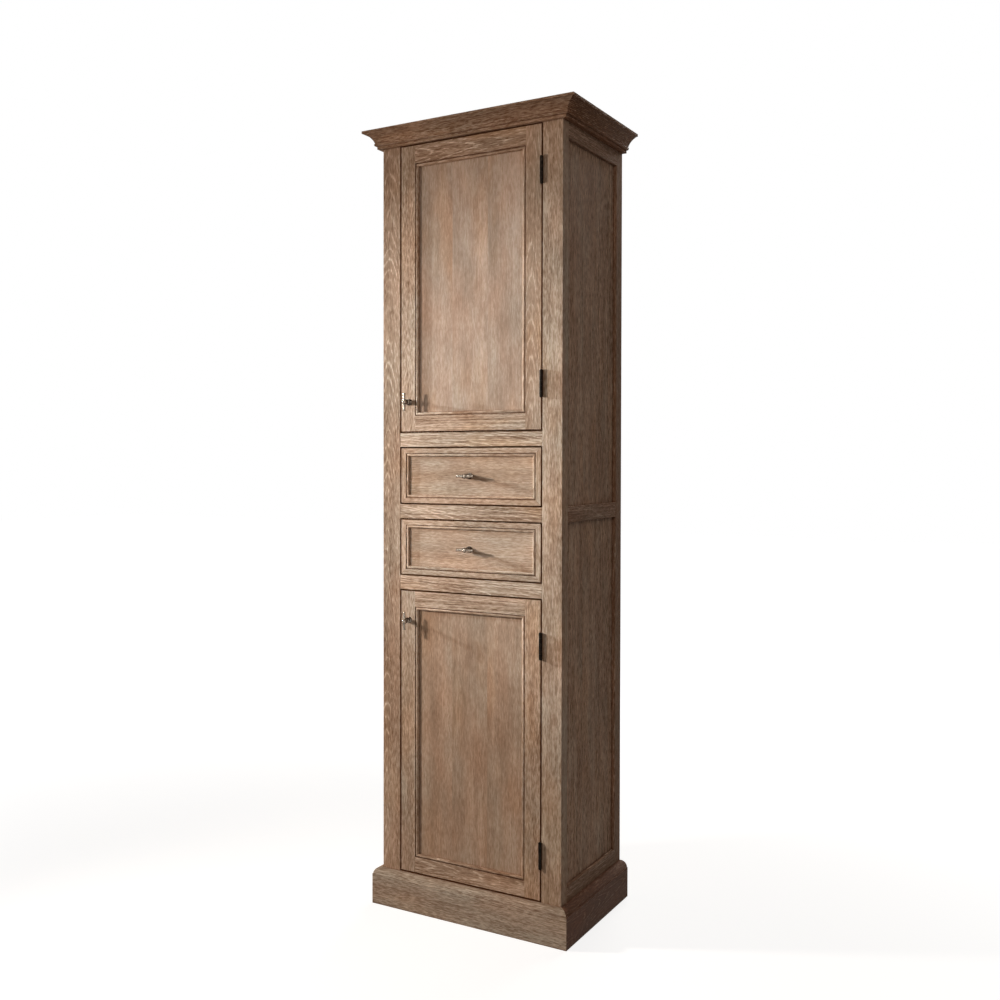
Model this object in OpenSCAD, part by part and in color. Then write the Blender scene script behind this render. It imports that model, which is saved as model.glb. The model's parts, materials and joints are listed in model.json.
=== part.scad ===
// Tall bathroom cabinet in limed oak: two frame-and-panel doors with two drawers between them.
// X runs to the right, Y from the front to the back, Z up. The origin is on the floor, in the
// middle of the whole footprint. All sizes are in millimetres.

/* [Carcase] */
// Width of the carcase over its side frames
carcase_w = 482; // [420:2:600]
// Depth of the carcase from the front frame to the back edge
carcase_d = 412; // [360:4:500]
// Height of the whole cabinet
cabinet_h = 2000; // [1900:5:2200]
// Width of a front post, seen from the front
front_post_w = 50; // [44:1:60]
// Depth of a front post, and of every front rail
front_post_d = 36; // [30:1:44]
// Width of a back post, seen from the back
back_post_w = 34; // [28:1:44]
// Depth of a back post, seen from the side
back_post_d = 42; // [34:1:56]
// Height of a front rail between the doors and drawers
rail_h = 37; // [30:1:46]
// Height of the front rail behind the plinth
bottom_rail_h = 40; // [30:1:60]
// Thickness of the floors, shelves and top board
board_t = 18; // [15:1:20]
// Length of the tenons on the front rails
tenon_len = 18; // [12:1:24]
// Thickness of the tenons on the front rails
tenon_t = 12; // [8:1:14]
// Shoulder left above and below a tenon
tenon_shoulder = 5; // [3:1:7]

/* [Door and drawer openings] */
// Height of the lower door's opening
lower_door_h = 728; // [640:1:740]
// Height of each drawer's opening
drawer_open_h = 145.5; // [130:0.5:160]
// Gap round each door and drawer front
front_gap = 2.5; // [2:0.1:3.2]

/* [Side frames] */
// Thickness of the side rails
side_rail_t = 22; // [20:1:26]
// Height of a side rail that shows between the plinth, the panels and the cornice
side_rail_h = 38; // [28:1:60]
// Depth of the side panels behind the frame's face
side_recess = 9; // [6:1:10]
// Thickness of the side panels
side_panel_t = 7; // [6:0.5:8]
// Depth of the grooves that hold the side panels
side_groove = 7; // [5:1:9]
// Gap left in a groove for a panel to move
panel_room = 1; // [0.5:0.1:1.5]
// Height of the lower edge of the side and back frames above the floor
frame_foot = 36; // [30:1:40]

/* [Back] */
// Thickness of the back panel
back_panel_t = 6; // [4:0.5:8]
// Width of the rebate that holds the back panel
back_rebate = 10; // [6:1:14]
// Height of a back rail
back_rail_h = 36; // [30:1:38]
// Thickness of a back rail
back_rail_t = 16; // [12:1:18]

/* [Plinth] */
// Height of the plinth
plinth_h = 93; // [80:1:110]
// Height of the floor inside above the plinth
floor_lift = 1; // [0.5:0.5:4]
// How far the plinth stands out from the carcase
plinth_proj = 21; // [20:1:30]
// Radius of the round along the top of the plinth
plinth_round = 16; // [10:1:18]
// Depth of the small step under that round
plinth_step = 1.5; // [1:0.5:3]

/* [Cornice] */
// Height of the cornice
cornice_h = 45; // [40:1:45]
// How far the cornice stands out from the carcase
cornice_proj = 41; // [36:1:50]
// Height of the flat band along the top of the cornice
cornice_band = 6; // [4:0.5:9]
// Width of the step between the band and the hollow
cornice_step = 2.5; // [1:0.5:5]
// Radius of the shallow hollow of the cornice
cornice_hollow = 40; // [32:1:60]
// Radius of the bead under the hollow
cornice_bead = 4.5; // [3:0.5:5]
// Height of the flat fillet along the bottom of the cornice
cornice_fillet_h = 7; // [5:0.5:9]
// How far that fillet stands out from the carcase
cornice_fillet_proj = 11.5; // [8:0.5:14]

/* [Doors] */
// Thickness of the doors
door_t = 22; // [20:1:24]
// Flat width of the door stiles and of the plain door rails
door_stile_w = 40; // [36:0.5:50]
// Flat width of the upper door's top rail
upper_door_head_w = 46; // [40:0.5:60]
// Width of the thin groove beside the bead
door_quirk = 1.3; // [0.8:0.1:2]
// Width of the round bead along the inner edges of a door frame
door_bead = 7.5; // [5:0.5:9]
// Depth of the door panel behind the door's face
door_recess = 7; // [5:0.5:11]
// Thickness of the door panels
door_panel_t = 7; // [5:0.5:8]
// Depth of the panel grooves behind the flat of a door frame
door_groove = 8; // [6:0.5:10]

/* [Drawers] */
// Thickness of a drawer's front frame
drawer_front_t = 20; // [18:1:22]
// Flat width of a drawer's front frame
drawer_frame_w = 13.5; // [12:0.5:18]
// Width of the thin groove in a drawer's front frame
drawer_quirk = 1.2; // [0.8:0.1:2]
// Width of the round bead in a drawer's front frame
drawer_bead = 7; // [5:0.5:8]
// Depth of a drawer's panel behind its face
drawer_recess = 6; // [5:0.5:10]
// Thickness of a drawer's front panel
drawer_panel_t = 6; // [5:0.5:7]
// Depth of the panel grooves in a drawer's front frame
drawer_groove = 6; // [4:0.5:8]
// Distance between the back of a drawer box and the back posts
box_back_room = 10; // [6:1:60]
// Height of a drawer box
box_h = 118; // [90:1:120]
// Thickness of the sides and ends of a drawer box
box_t = 12; // [10:1:14]
// Thickness of a drawer's bottom
box_bottom_t = 6; // [4:0.5:8]
// Height of the drawer's bottom above the lower edge of its box
box_bottom_lift = 8; // [6:1:12]
// Depth of the groove for the drawer's bottom
box_groove = 6; // [4:0.5:7]
// Number of dovetails at each corner of a drawer box
box_tails = 3; // [2:1:4]
// Gap between a drawer box and the posts at its sides
box_side_gap = 7; // [5:0.5:12]

/* [Drawer runners] */
// Working clearance under and beside a drawer box
run_gap = 0.3; // [0.2:0.05:0.8]
// Thickness of a runner's ledge
runner_ledge = 14; // [10:1:18]
// Height of a runner's guide above its ledge
runner_guide = 24; // [16:1:32]
// How far the ledge reaches under the drawer box
runner_reach = 14; // [12:1:20]

/* [Shelves] */
// Height of the lower shelf above its floor board
lower_shelf_z = 360; // [250:5:500]
// Height of the first upper shelf above its floor board
upper_shelf_low_z = 240; // [180:5:300]
// Height of the second upper shelf above its floor board
upper_shelf_high_z = 490; // [400:5:560]
// Height of a cleat under a shelf or floor board
cleat_h = 22; // [15:1:30]
// Width of a cleat
cleat_w = 18; // [12:1:24]
// Play at the edges of a loose shelf
shelf_play = 1; // [0.5:0.5:2]
// Distance of a shelf's front edge behind the front posts
shelf_setback = 10; // [4:1:60]

/* [Hinges] */
// Length of a hinge
hinge_len = 63.5; // [50:0.5:76]
// Radius of a hinge barrel
hinge_r = 4; // [3:0.25:4.5]
// Radius of a hinge pin
hinge_pin_r = 1.6; // [1.2:0.1:2]
// Running clearance round a hinge pin
pin_play = 0.05; // [0.03:0.01:0.1]
// Gap between neighbouring knuckles of a hinge
knuckle_gap = 0.2; // [0.1:0.05:0.4]
// Depth of a hinge leaf between the door and the post
hinge_leaf_d = 20; // [14:1:20]
// Distance of a hinge's middle from the end of its door
hinge_inset = 110; // [80:1:150]
// Height of the turned tip on each end of a hinge pin
hinge_tip_h = 4; // [2:0.5:6]
// Radius of the collar under that tip
hinge_tip_r = 3.2; // [2.4:0.1:4]

/* [Handles] */
// Length of a handle's bar
bar_len = 46; // [36:1:60]
// Radius of a handle's bar
bar_r = 2.9; // [2.6:0.1:3.4]
// Radius of the button on each end of the bar
button_r = 3.7; // [3.2:0.1:4.2]
// Length of that button
button_len = 3; // [2:0.5:4]
// Radius of the round boss in the middle of the bar
boss_r = 6.5; // [5.5:0.5:7.5]
// Width of that boss
boss_w = 9; // [8:1:12]
// Radius of the collars beside the boss
collar_r = 4.4; // [3.8:0.1:5]
// Width of each collar
collar_w = 1.8; // [1.2:0.2:2.4]
// Distance between the boss and a collar
collar_gap = 1; // [0.6:0.2:2]
// Distance from the base of a handle to the middle of its bar
handle_reach = 27; // [24:1:36]
// Radius of a handle's round rose
rose_r = 8; // [7:0.5:9]
// Thickness of the rose at its rim
rose_rim = 2; // [1.5:0.5:2.5]
// Radius of the cove between the rose and the stem
rose_cove = 3.5; // [2:0.5:4]
// Radius of the stem between the rose and the bar
stem_r = 3.6; // [3:0.2:4.2]
// Radius of the ring turned on the stem
ring_r = 4.8; // [4.4:0.2:5.4]
// Width of that ring
ring_w = 2; // [1.5:0.5:3]
// Radius of the screw that holds a handle
screw_r = 2; // [1.5:0.25:2.5]
// Radius of that screw's head
screw_head_r = 4.5; // [3.5:0.5:5]
// Height of that screw's head
screw_head_h = 2; // [1.5:0.5:3]
// Distance of a door handle from the door's side edge
handle_inset = 23; // [16:1:26]
// Distance of a door handle from the nearer end of its door
handle_from_end = 75; // [65:1:120]

/* [Catches] */
// Height of a magnetic catch
catch_h = 40; // [30:1:50]
// Width of a magnetic catch
catch_w = 16; // [12:1:20]
// Depth of a magnetic catch
catch_d = 12; // [8:1:12]
// Thickness of the strike plate on the door
strike_t = 1; // [0.8:0.1:2]
// Gap between a catch and its strike plate
catch_gap = 0.3; // [0.2:0.1:1]
// Distance between the middles of a handle and its catch
catch_offset = 60; // [40:1:120]

/* [Hidden] */
$fn = 48;
half_w = carcase_w / 2;
y_front = cornice_proj - (carcase_d + cornice_proj) / 2;
y_back = y_front + carcase_d;
y_post = y_front + front_post_d;
y_back_post = y_back - back_post_d;
y_panel_back = y_back - back_panel_t;
open_half = half_w - front_post_w;
front_half = open_half - front_gap;
back_half = half_w - back_post_w;
inner_half = half_w - side_rail_t;
top_z = cabinet_h - board_t;
frame_top_z = cabinet_h - cornice_h;

// Openings from the floor upwards
floor_z = plinth_h + floor_lift;
lower_door_top = floor_z + lower_door_h;
drawer1_z = lower_door_top + rail_h;
drawer1_top = drawer1_z + drawer_open_h;
drawer2_z = drawer1_top + rail_h;
drawer2_top = drawer2_z + drawer_open_h;
upper_z = drawer2_top + rail_h;
upper_door_h = frame_top_z - upper_z;
runner_z = front_gap - run_gap;
drawer_bay_z = drawer1_z + runner_z - runner_ledge;

// Side frames, whose middle rails line up with the front rail between the drawers
side_bottom_rail_top = plinth_h + side_rail_h;
side_mid_rail_z = drawer1_top;
side_mid_rail_top = side_mid_rail_z + side_rail_h;
side_top_rail_z = frame_top_z - side_rail_h;
side_panel_x = half_w - side_recess - side_panel_t;

// Door and drawer fronts
door_bottom_1 = floor_z + front_gap;
door_height_1 = lower_door_h - 2 * front_gap;
door_bottom_2 = upper_z + front_gap;
door_height_2 = upper_door_h - 2 * front_gap;
door_bead_end = door_stile_w + door_quirk + door_bead;
drawer_front_h = drawer_open_h - 2 * front_gap;
drawer_bead_end = drawer_frame_w + drawer_quirk + drawer_bead;
drawer_groove_floor = drawer_bead_end - drawer_groove;
door_back_y = y_front + door_t;

// Drawer boxes
box_half = open_half - box_side_gap;
box_y0 = y_front + drawer_front_t;
box_y1 = y_back_post - box_back_room;
box_inner_half = box_half - box_t;
box_back_z = box_bottom_lift + box_bottom_t;
drawer_panel_y = y_front + drawer_recess;

// Hinges
leaf_play = 0.1;
leaf_t = (front_gap - leaf_play) / 2;
barrel_clear = 0.2;
hinge_x = open_half - front_gap / 2;
hinge_y = y_front - hinge_r - barrel_clear;
knuckles = 5;
knuckle_len = (hinge_len - (knuckles - 1) * knuckle_gap) / knuckles;
knuckle_bore = hinge_pin_r + pin_play;

// Handles and catches
handle_x = handle_inset - front_half;
screw_play = 0.1;
handle_z_upper = door_bottom_2 + handle_from_end;
handle_z_lower = door_bottom_1 + door_height_1 - handle_from_end;
drawer_handle_z = drawer_front_h / 2;

// Dovetails as shares of their pitch: at the end of the side, and at the shoulder
tail_wide_share = 0.7;
tail_narrow_share = 0.52;

wood = [0.72, 0.59, 0.47];
wood_dark = [0.62, 0.50, 0.39];
inner_wood = [0.78, 0.66, 0.52];
nickel = [0.72, 0.70, 0.66];
black_iron = [0.13, 0.12, 0.11];
steel_grey = [0.55, 0.56, 0.58];

// A block given by its lowest and highest corners
module block(low, high) {
    translate(low) cube(high - low);
}

// The same shape on both sides of the middle plane
module both_sides() {
    children();
    mirror([1, 0, 0]) children();
}

// The five front rails that end in the posts, as [height of the lower edge, height of the rail]
front_rails = [
    [floor_z - bottom_rail_h, bottom_rail_h],
    [lower_door_top, rail_h],
    [drawer1_top, rail_h],
    [drawer2_top, rail_h],
    [frame_top_z, top_z - frame_top_z]
];

// Tenons on the two ends of a front rail, or the mortises for them
module rail_tenons(rail, extra) {
    tenon_y = y_front + (front_post_d - tenon_t) / 2;
    both_sides()
        block([open_half - 1, tenon_y, rail[0] + tenon_shoulder],
              [open_half + tenon_len + extra, tenon_y + tenon_t, rail[0] + rail[1] - tenon_shoulder]);
}

module front_rail(rail) {
    block([-open_half, y_front, rail[0]], [open_half, y_post, rail[0] + rail[1]]);
    rail_tenons(rail, 0);
}

// Groove for the side panels and for the tongues of the side rails, along a right-hand post
module side_groove_cut(low_y, high_y) {
    block([side_panel_x, low_y, frame_foot], [side_panel_x + side_panel_t, high_y, top_z]);
}

module front_post() {
    difference() {
        block([open_half, y_front, 0], [half_w, y_post, top_z]);
        side_groove_cut(y_post - side_groove, y_post + 1);
        for (rail = front_rails) rail_tenons(rail, panel_room);
    }
}

module back_post() {
    difference() {
        block([back_half, y_back_post, 0], [half_w, y_back, top_z]);
        side_groove_cut(y_back_post - 1, y_back_post + side_groove);
        block([back_half - 1, y_panel_back, frame_foot], [back_half + back_rebate, y_back + 1, top_z]);
    }
}

module front_post_left() { color(wood) mirror([1, 0, 0]) front_post(); }
module front_post_right() { color(wood) front_post(); }
module back_post_left() { color(wood) mirror([1, 0, 0]) back_post(); }
module back_post_right() { color(wood) back_post(); }

module bottom_front_rail() { color(wood) front_rail(front_rails[0]); }
module drawer_rails() { color(wood) for (i = [1:3]) front_rail(front_rails[i]); }
module top_front_rail() { color(wood) front_rail(front_rails[4]); }

// A right-hand side rail with its tongues, and grooves on the edges named by groove_low and groove_top
module side_rail(low, high, groove_low, groove_top) {
    tongue_low = groove_low ? low + side_groove : low;
    tongue_top = groove_top ? high - side_groove : high;
    difference() {
        union() {
            block([inner_half, y_post, low], [half_w, y_back_post, high]);
            block([side_panel_x, y_post - side_groove + panel_room, tongue_low],
                  [side_panel_x + side_panel_t, y_back_post + side_groove - panel_room, tongue_top]);
        }
        if (groove_low)
            block([side_panel_x, y_post - side_groove, low - 1],
                  [side_panel_x + side_panel_t, y_back_post + side_groove, low + side_groove]);
        if (groove_top)
            block([side_panel_x, y_post - side_groove, high - side_groove],
                  [side_panel_x + side_panel_t, y_back_post + side_groove, high + 1]);
    }
}

module side_rails() {
    side_rail(frame_foot, side_bottom_rail_top, false, true);
    side_rail(side_mid_rail_z, side_mid_rail_top, true, true);
    side_rail(side_top_rail_z, top_z, true, false);
}

module side_rails_left() { color(wood_dark) mirror([1, 0, 0]) side_rails(); }
module side_rails_right() { color(wood_dark) side_rails(); }

// A right-hand side panel between two rails, held on all four edges
module side_panel(low, high) {
    hold = side_groove - panel_room;
    block([side_panel_x, y_post - hold, low - hold],
          [side_panel_x + side_panel_t, y_back_post + hold, high + hold]);
}

module side_panels() {
    side_panel(side_bottom_rail_top, side_mid_rail_z);
    side_panel(side_mid_rail_top, side_top_rail_z);
}

module side_panels_left() { color(wood) mirror([1, 0, 0]) side_panels(); }
module side_panels_right() { color(wood) side_panels(); }

module back_panel() {
    edge = back_half + back_rebate - panel_room;
    color(inner_wood) block([-edge, y_panel_back, frame_foot], [edge, y_back, top_z]);
}

// Back rails under the floors and under the top board
module back_rails() {
    color(wood_dark)
        for (top = [floor_z - board_t, drawer_bay_z - board_t, upper_z - board_t, top_z])
            block([-back_half, y_panel_back - back_rail_t, top - back_rail_h],
                  [back_half, y_panel_back, top]);
}

// A board from the front rails to the back panel, cut out round the back posts
module inner_board(top, low_y, play) {
    difference() {
        block([play - inner_half, low_y, top - board_t], [inner_half - play, y_panel_back - play, top]);
        both_sides()
            block([back_half - play, y_back_post - play, top - board_t - 1],
                  [half_w, y_back, top + 1]);
    }
}

module floor_board() { color(inner_wood) inner_board(floor_z, y_post, 0); }
module drawer_bay_floor() { color(inner_wood) inner_board(drawer_bay_z, y_post, 0); }
module upper_floor_board() { color(inner_wood) inner_board(upper_z, y_post, 0); }
module top_board() { color(wood) block([-half_w, y_front, top_z], [half_w, y_back, cabinet_h]); }

shelf_y = y_post + shelf_setback;
module shelf(top) { color(inner_wood) inner_board(top, shelf_y, shelf_play); }
module lower_shelf() { shelf(floor_z + lower_shelf_z); }
module upper_shelf_low() { shelf(upper_z + upper_shelf_low_z); }
module upper_shelf_high() { shelf(upper_z + upper_shelf_high_z); }

// Cleats from post to post under the boards that no rail carries at the sides
module board_cleats() {
    tops = [drawer_bay_z, upper_z, floor_z + lower_shelf_z,
            upper_z + upper_shelf_low_z, upper_z + upper_shelf_high_z];
    color(inner_wood) both_sides()
        for (top = tops)
            block([inner_half - cleat_w, y_post, top - board_t - cleat_h],
                  [inner_half, y_back_post, top - board_t]);
}

// Plan of a moulding along the front, mitred at both ends
module front_strip_plan(proj) {
    polygon([[-half_w - proj, y_front - proj], [half_w + proj, y_front - proj],
             [half_w, y_front], [-half_w, y_front]]);
}

// Plan of a moulding along the right side, mitred at the front and square at the back
module side_strip_plan(proj) {
    polygon([[half_w + proj, y_front - proj], [half_w + proj, y_back],
             [half_w, y_back], [half_w, y_front]]);
}

// A profile, drawn as [distance from the carcase, height], run along the front
module front_strip(proj, height) {
    intersection() {
        translate([0, y_front, 0]) rotate([90, 0, -90])
            linear_extrude(2 * (half_w + proj), center = true) children();
        linear_extrude(height) front_strip_plan(proj);
    }
}

// The same profile run along the right side
module side_strip(proj, height) {
    intersection() {
        translate([half_w, y_back, 0]) rotate([90, 0, 0])
            linear_extrude(carcase_d + proj) children();
        linear_extrude(height) side_strip_plan(proj);
    }
}

module plinth_profile() {
    step_x = plinth_proj - plinth_step;
    step_z = plinth_h - plinth_round;
    square([plinth_proj, step_z]);
    square([step_x - plinth_round, plinth_h]);
    intersection() {
        translate([step_x - plinth_round, step_z]) circle(plinth_round);
        square([plinth_proj, plinth_h]);
    }
}

module plinth_front() { color(wood) front_strip(plinth_proj, plinth_h) plinth_profile(); }
module plinth_side() { color(wood_dark) side_strip(plinth_proj, plinth_h) plinth_profile(); }
module plinth_right() { plinth_side(); }
module plinth_left() { mirror([1, 0, 0]) plinth_side(); }

// The hollow is an arc between the step under the band and the top of the bead, hollowed from outside
module cornice_profile() {
    band_z = cornice_h - cornice_band;
    bead_x = cornice_fillet_proj + cornice_bead / 3;
    bead_z = cornice_fillet_h + cornice_bead;
    hollow_foot = [bead_x + cornice_bead - cornice_step / 2, bead_z + cornice_bead];
    hollow_head = [cornice_proj - cornice_step, band_z];
    chord = hollow_head - hollow_foot;
    centre = (hollow_foot + hollow_head) / 2
        + [chord[1], -chord[0]] * sqrt(pow(cornice_hollow / norm(chord), 2) - 1 / 4);
    translate([0, band_z]) square([cornice_proj, cornice_band]);
    square([cornice_fillet_proj, bead_z]);
    translate([0, cornice_fillet_h]) square([bead_x, 2 * cornice_bead]);
    translate([bead_x, bead_z]) circle(cornice_bead);
    difference() {
        polygon([[0, bead_z], [hollow_foot[0], bead_z], hollow_foot, [hollow_head[0], hollow_foot[1]],
                 hollow_head, [0, band_z]]);
        translate(centre) circle(cornice_hollow);
    }
}

module cornice_at_top() { translate([0, 0, frame_top_z]) children(); }
module cornice_front() {
    color(wood) cornice_at_top() front_strip(cornice_proj, cornice_h) cornice_profile();
}
module cornice_side() {
    color(wood_dark) cornice_at_top() side_strip(cornice_proj, cornice_h) cornice_profile();
}
module cornice_right() { cornice_side(); }
module cornice_left() { mirror([1, 0, 0]) cornice_side(); }

// Section of a framing member: X from its outer edge inwards, Y from its face to its back.
// A thin groove and a round bead run along the inner edge, and a slot holds the panel.
module frame_section(flat_w, quirk, bead, slot_floor, slot_y, slot_t, thick) {
    bead_end = flat_w + quirk + bead;
    difference() {
        union() {
            square([flat_w, thick]);
            translate([0, bead / 2]) square([bead_end, thick - bead / 2]);
            translate([bead_end - bead / 2, bead / 2]) circle(bead / 2);
        }
        translate([slot_floor, slot_y]) square([bead_end, slot_t]);
    }
}

module door_section(flat_w) {
    frame_section(flat_w, door_quirk, door_bead, flat_w - door_groove,
                  door_recess, door_panel_t, door_t);
}

// Keeps what lies inside an outline drawn in X and Z, over the thickness of a front
module within_outline(thick, points) {
    intersection() {
        children();
        translate([0, thick + 1, 0]) rotate([90, 0, 0]) linear_extrude(thick + 2) polygon(points);
    }
}

// Left-hand stile of a door, standing on the origin, whose rails are foot_w and head_w wide
module door_stile(height, foot_w, head_w) {
    edge = door_quirk + door_bead;
    within_outline(door_t, [[0, 0], [door_stile_w, 0], [door_stile_w, foot_w],
                            [door_bead_end, foot_w + edge], [door_bead_end, height - head_w - edge],
                            [door_stile_w, height - head_w], [door_stile_w, height], [0, height]])
        linear_extrude(height) door_section(door_stile_w);
}

// Bottom rail of a door, with its tongues in the stiles' grooves
module door_rail(flat_w) {
    shoulder = front_half - door_stile_w;
    edge = door_quirk + door_bead;
    within_outline(door_t, [[-shoulder, 0], [shoulder, 0], [shoulder, flat_w],
                            [shoulder - edge, flat_w + edge], [edge - shoulder, flat_w + edge],
                            [-shoulder, flat_w]])
        rotate([0, -90, 0]) linear_extrude(2 * shoulder, center = true) door_section(flat_w);
    both_sides()
        block([shoulder - 1, door_recess, 0],
              [shoulder + door_groove - panel_room, door_recess + door_panel_t, flat_w - door_groove]);
}

module at_door(bottom) { translate([0, y_front, bottom]) children(); }

module lock_stile(bottom, height, head_w, handle_z) {
    color(wood) difference() {
        at_door(bottom) translate([-front_half, 0, 0]) door_stile(height, door_stile_w, head_w);
        translate([handle_x, y_front - 1, handle_z]) rotate([-90, 0, 0])
            cylinder(h = door_t + 2, r = screw_r + screw_play);
    }
}

module hinge_stile(bottom, height, head_w) {
    color(wood) at_door(bottom) mirror([1, 0, 0])
        translate([-front_half, 0, 0]) door_stile(height, door_stile_w, head_w);
}

module door_head(bottom, height, head_w) {
    color(wood) at_door(bottom + height) mirror([0, 0, 1]) door_rail(head_w);
}

module door_foot(bottom) { color(wood) at_door(bottom) door_rail(door_stile_w); }

module door_panel(bottom, height, head_w) {
    slip = door_groove - panel_room;
    half = front_half - door_stile_w + slip;
    color(wood) at_door(bottom)
        block([-half, door_recess, door_stile_w - slip],
              [half, door_recess + door_panel_t, height - head_w + slip]);
}

module lower_door_lock_stile() {
    lock_stile(door_bottom_1, door_height_1, door_stile_w, handle_z_lower);
}
module lower_door_hinge_stile() { hinge_stile(door_bottom_1, door_height_1, door_stile_w); }
module lower_door_top_rail() { door_head(door_bottom_1, door_height_1, door_stile_w); }
module lower_door_bottom_rail() { door_foot(door_bottom_1); }
module lower_door_panel() { door_panel(door_bottom_1, door_height_1, door_stile_w); }
module upper_door_lock_stile() {
    lock_stile(door_bottom_2, door_height_2, upper_door_head_w, handle_z_upper);
}
module upper_door_hinge_stile() { hinge_stile(door_bottom_2, door_height_2, upper_door_head_w); }
module upper_door_top_rail() { door_head(door_bottom_2, door_height_2, upper_door_head_w); }
module upper_door_bottom_rail() { door_foot(door_bottom_2); }
module upper_door_panel() { door_panel(door_bottom_2, door_height_2, upper_door_head_w); }

// Middles of a door's two hinges
function hinge_heights(bottom, height) = [bottom + hinge_inset, bottom + height - hinge_inset];
lower_hinges = hinge_heights(door_bottom_1, door_height_1);
upper_hinges = hinge_heights(door_bottom_2, door_height_2);

// One leaf of a hinge with its knuckles. side is 1 for the post's leaf and -1 for the door's.
module hinge_leaf(mid, side) {
    low = mid - hinge_len / 2;
    first = side > 0 ? 0 : 1;
    plate_x = side > 0 ? leaf_play / 2 : -leaf_play / 2 - leaf_t;
    plate_y = hinge_r + barrel_clear;
    translate([hinge_x, hinge_y, 0]) difference() {
        union() {
            block([plate_x, plate_y, low], [plate_x + leaf_t, plate_y + hinge_leaf_d, low + hinge_len]);
            for (i = [first:2:knuckles - 1]) {
                z = low + i * (knuckle_len + knuckle_gap);
                translate([0, 0, z]) cylinder(h = knuckle_len, r = hinge_r);
                block([plate_x, 0, z], [plate_x + leaf_t, plate_y + 1, z + knuckle_len]);
            }
        }
        translate([0, 0, low - 1]) cylinder(h = hinge_len + 2, r = knuckle_bore);
    }
}

// A pin with a turned tip on each end of the barrel
module hinge_pin(mid) {
    half = hinge_len / 2;
    translate([hinge_x, hinge_y, mid]) rotate_extrude()
        intersection() {
            union() {
                translate([0, -half - hinge_tip_h / 2]) square([hinge_pin_r, hinge_len + hinge_tip_h]);
                translate([0, half]) square([hinge_tip_r, hinge_tip_h / 4]);
                translate([0, -half - hinge_tip_h / 4]) square([hinge_tip_r, hinge_tip_h / 4]);
                translate([0, half + hinge_tip_h / 2]) circle(hinge_tip_h / 2);
                translate([0, -half - hinge_tip_h / 2]) circle(hinge_tip_h / 2);
            }
            translate([0, -hinge_len]) square([hinge_r, 2 * hinge_len]);
        }
}

module hinge_post_leaves() {
    color(black_iron) for (mid = concat(lower_hinges, upper_hinges)) hinge_leaf(mid, 1);
}
module hinge_pins() {
    color(black_iron) for (mid = concat(lower_hinges, upper_hinges)) hinge_pin(mid);
}
module lower_door_hinge_leaves() { color(black_iron) for (mid = lower_hinges) hinge_leaf(mid, -1); }
module upper_door_hinge_leaves() { color(black_iron) for (mid = upper_hinges) hinge_leaf(mid, -1); }

// Keeps the half of a turned profile on the right of its axis
module right_half(reach) {
    intersection() {
        children();
        translate([0, -reach]) square([reach, 2 * reach]);
    }
}

// A turned ring round an axis, centred on the given height, with a rounded rim
module turned_ring(radius, width, height) {
    translate([0, height - width / 2]) square([radius - width / 2, width]);
    translate([radius - width / 2, height]) circle(width / 2);
}

// Half profile of a handle's rose, stem and screw, whose screw goes through a wall grip thick
module stem_profile(grip) {
    ring_z = handle_reach - boss_r - ring_w;
    turned_ring(rose_r, rose_rim, rose_rim / 2);
    difference() {
        translate([0, rose_rim / 2]) square([stem_r + rose_cove, rose_rim / 2 + rose_cove]);
        translate([stem_r + rose_cove, rose_rim + rose_cove]) circle(rose_cove);
    }
    square([stem_r, handle_reach]);
    turned_ring(ring_r, ring_w, ring_z);
    translate([0, -grip]) square([screw_r, grip + 1]);
    translate([0, -grip - screw_head_h]) square([screw_head_r, screw_head_h]);
}

// Half profile of a handle's bar, from its middle outwards
module bar_profile() {
    square([bar_r, bar_len / 2 - button_len / 2]);
    turned_ring(button_r, button_len, bar_len / 2 - button_len / 2);
    turned_ring(collar_r, collar_w, boss_w / 2 + collar_gap + collar_w / 2);
    right_half(bar_len) translate([boss_r - boss_w / 2, 0]) circle(boss_w / 2);
    square([boss_r - boss_w / 2, boss_w / 2]);
}

// A turned handle on a face at Y = 0, with its bar along X
module bar_handle(grip) {
    rotate([90, 0, 0]) rotate_extrude() stem_profile(grip);
    translate([0, -handle_reach, 0]) rotate([0, 90, 0]) rotate_extrude() {
        bar_profile();
        mirror([0, 1]) bar_profile();
    }
}

module door_handle(height) {
    color(nickel) translate([handle_x, y_front, height]) rotate([0, 90, 0]) bar_handle(door_t);
}
module upper_door_handle() { door_handle(handle_z_upper); }
module lower_door_handle() { door_handle(handle_z_lower); }

// The catch on the left post, and its strike plate on the door
module door_catch(mid) {
    low_y = door_back_y + strike_t + catch_gap;
    block([-open_half, low_y, mid - catch_h / 2],
          [catch_w - open_half, low_y + catch_d, mid + catch_h / 2]);
}
module door_strike(mid) {
    color(steel_grey)
        block([-front_half, door_back_y, mid - catch_h / 2],
              [catch_w - open_half, door_back_y + strike_t, mid + catch_h / 2]);
}
catch_z_upper = handle_z_upper + catch_offset;
catch_z_lower = handle_z_lower - catch_offset;
module door_catches() { color(steel_grey) for (mid = [catch_z_lower, catch_z_upper]) door_catch(mid); }
module upper_door_strike() { door_strike(catch_z_upper); }
module lower_door_strike() { door_strike(catch_z_lower); }

module at_drawer(bottom) { translate([0, 0, bottom + front_gap]) children(); }

module drawer_section() {
    frame_section(drawer_frame_w, drawer_quirk, drawer_bead, drawer_groove_floor,
                  drawer_recess, drawer_panel_t, drawer_front_t);
}

// Lower member of a drawer's front frame, mitred from the outer corners inwards
module drawer_frame_rail() {
    e = drawer_bead_end;
    within_outline(drawer_front_t, [[-front_half, 0], [front_half, 0],
                                    [front_half - e, e], [e - front_half, e]])
        rotate([0, -90, 0]) linear_extrude(2 * front_half, center = true) drawer_section();
}

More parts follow.
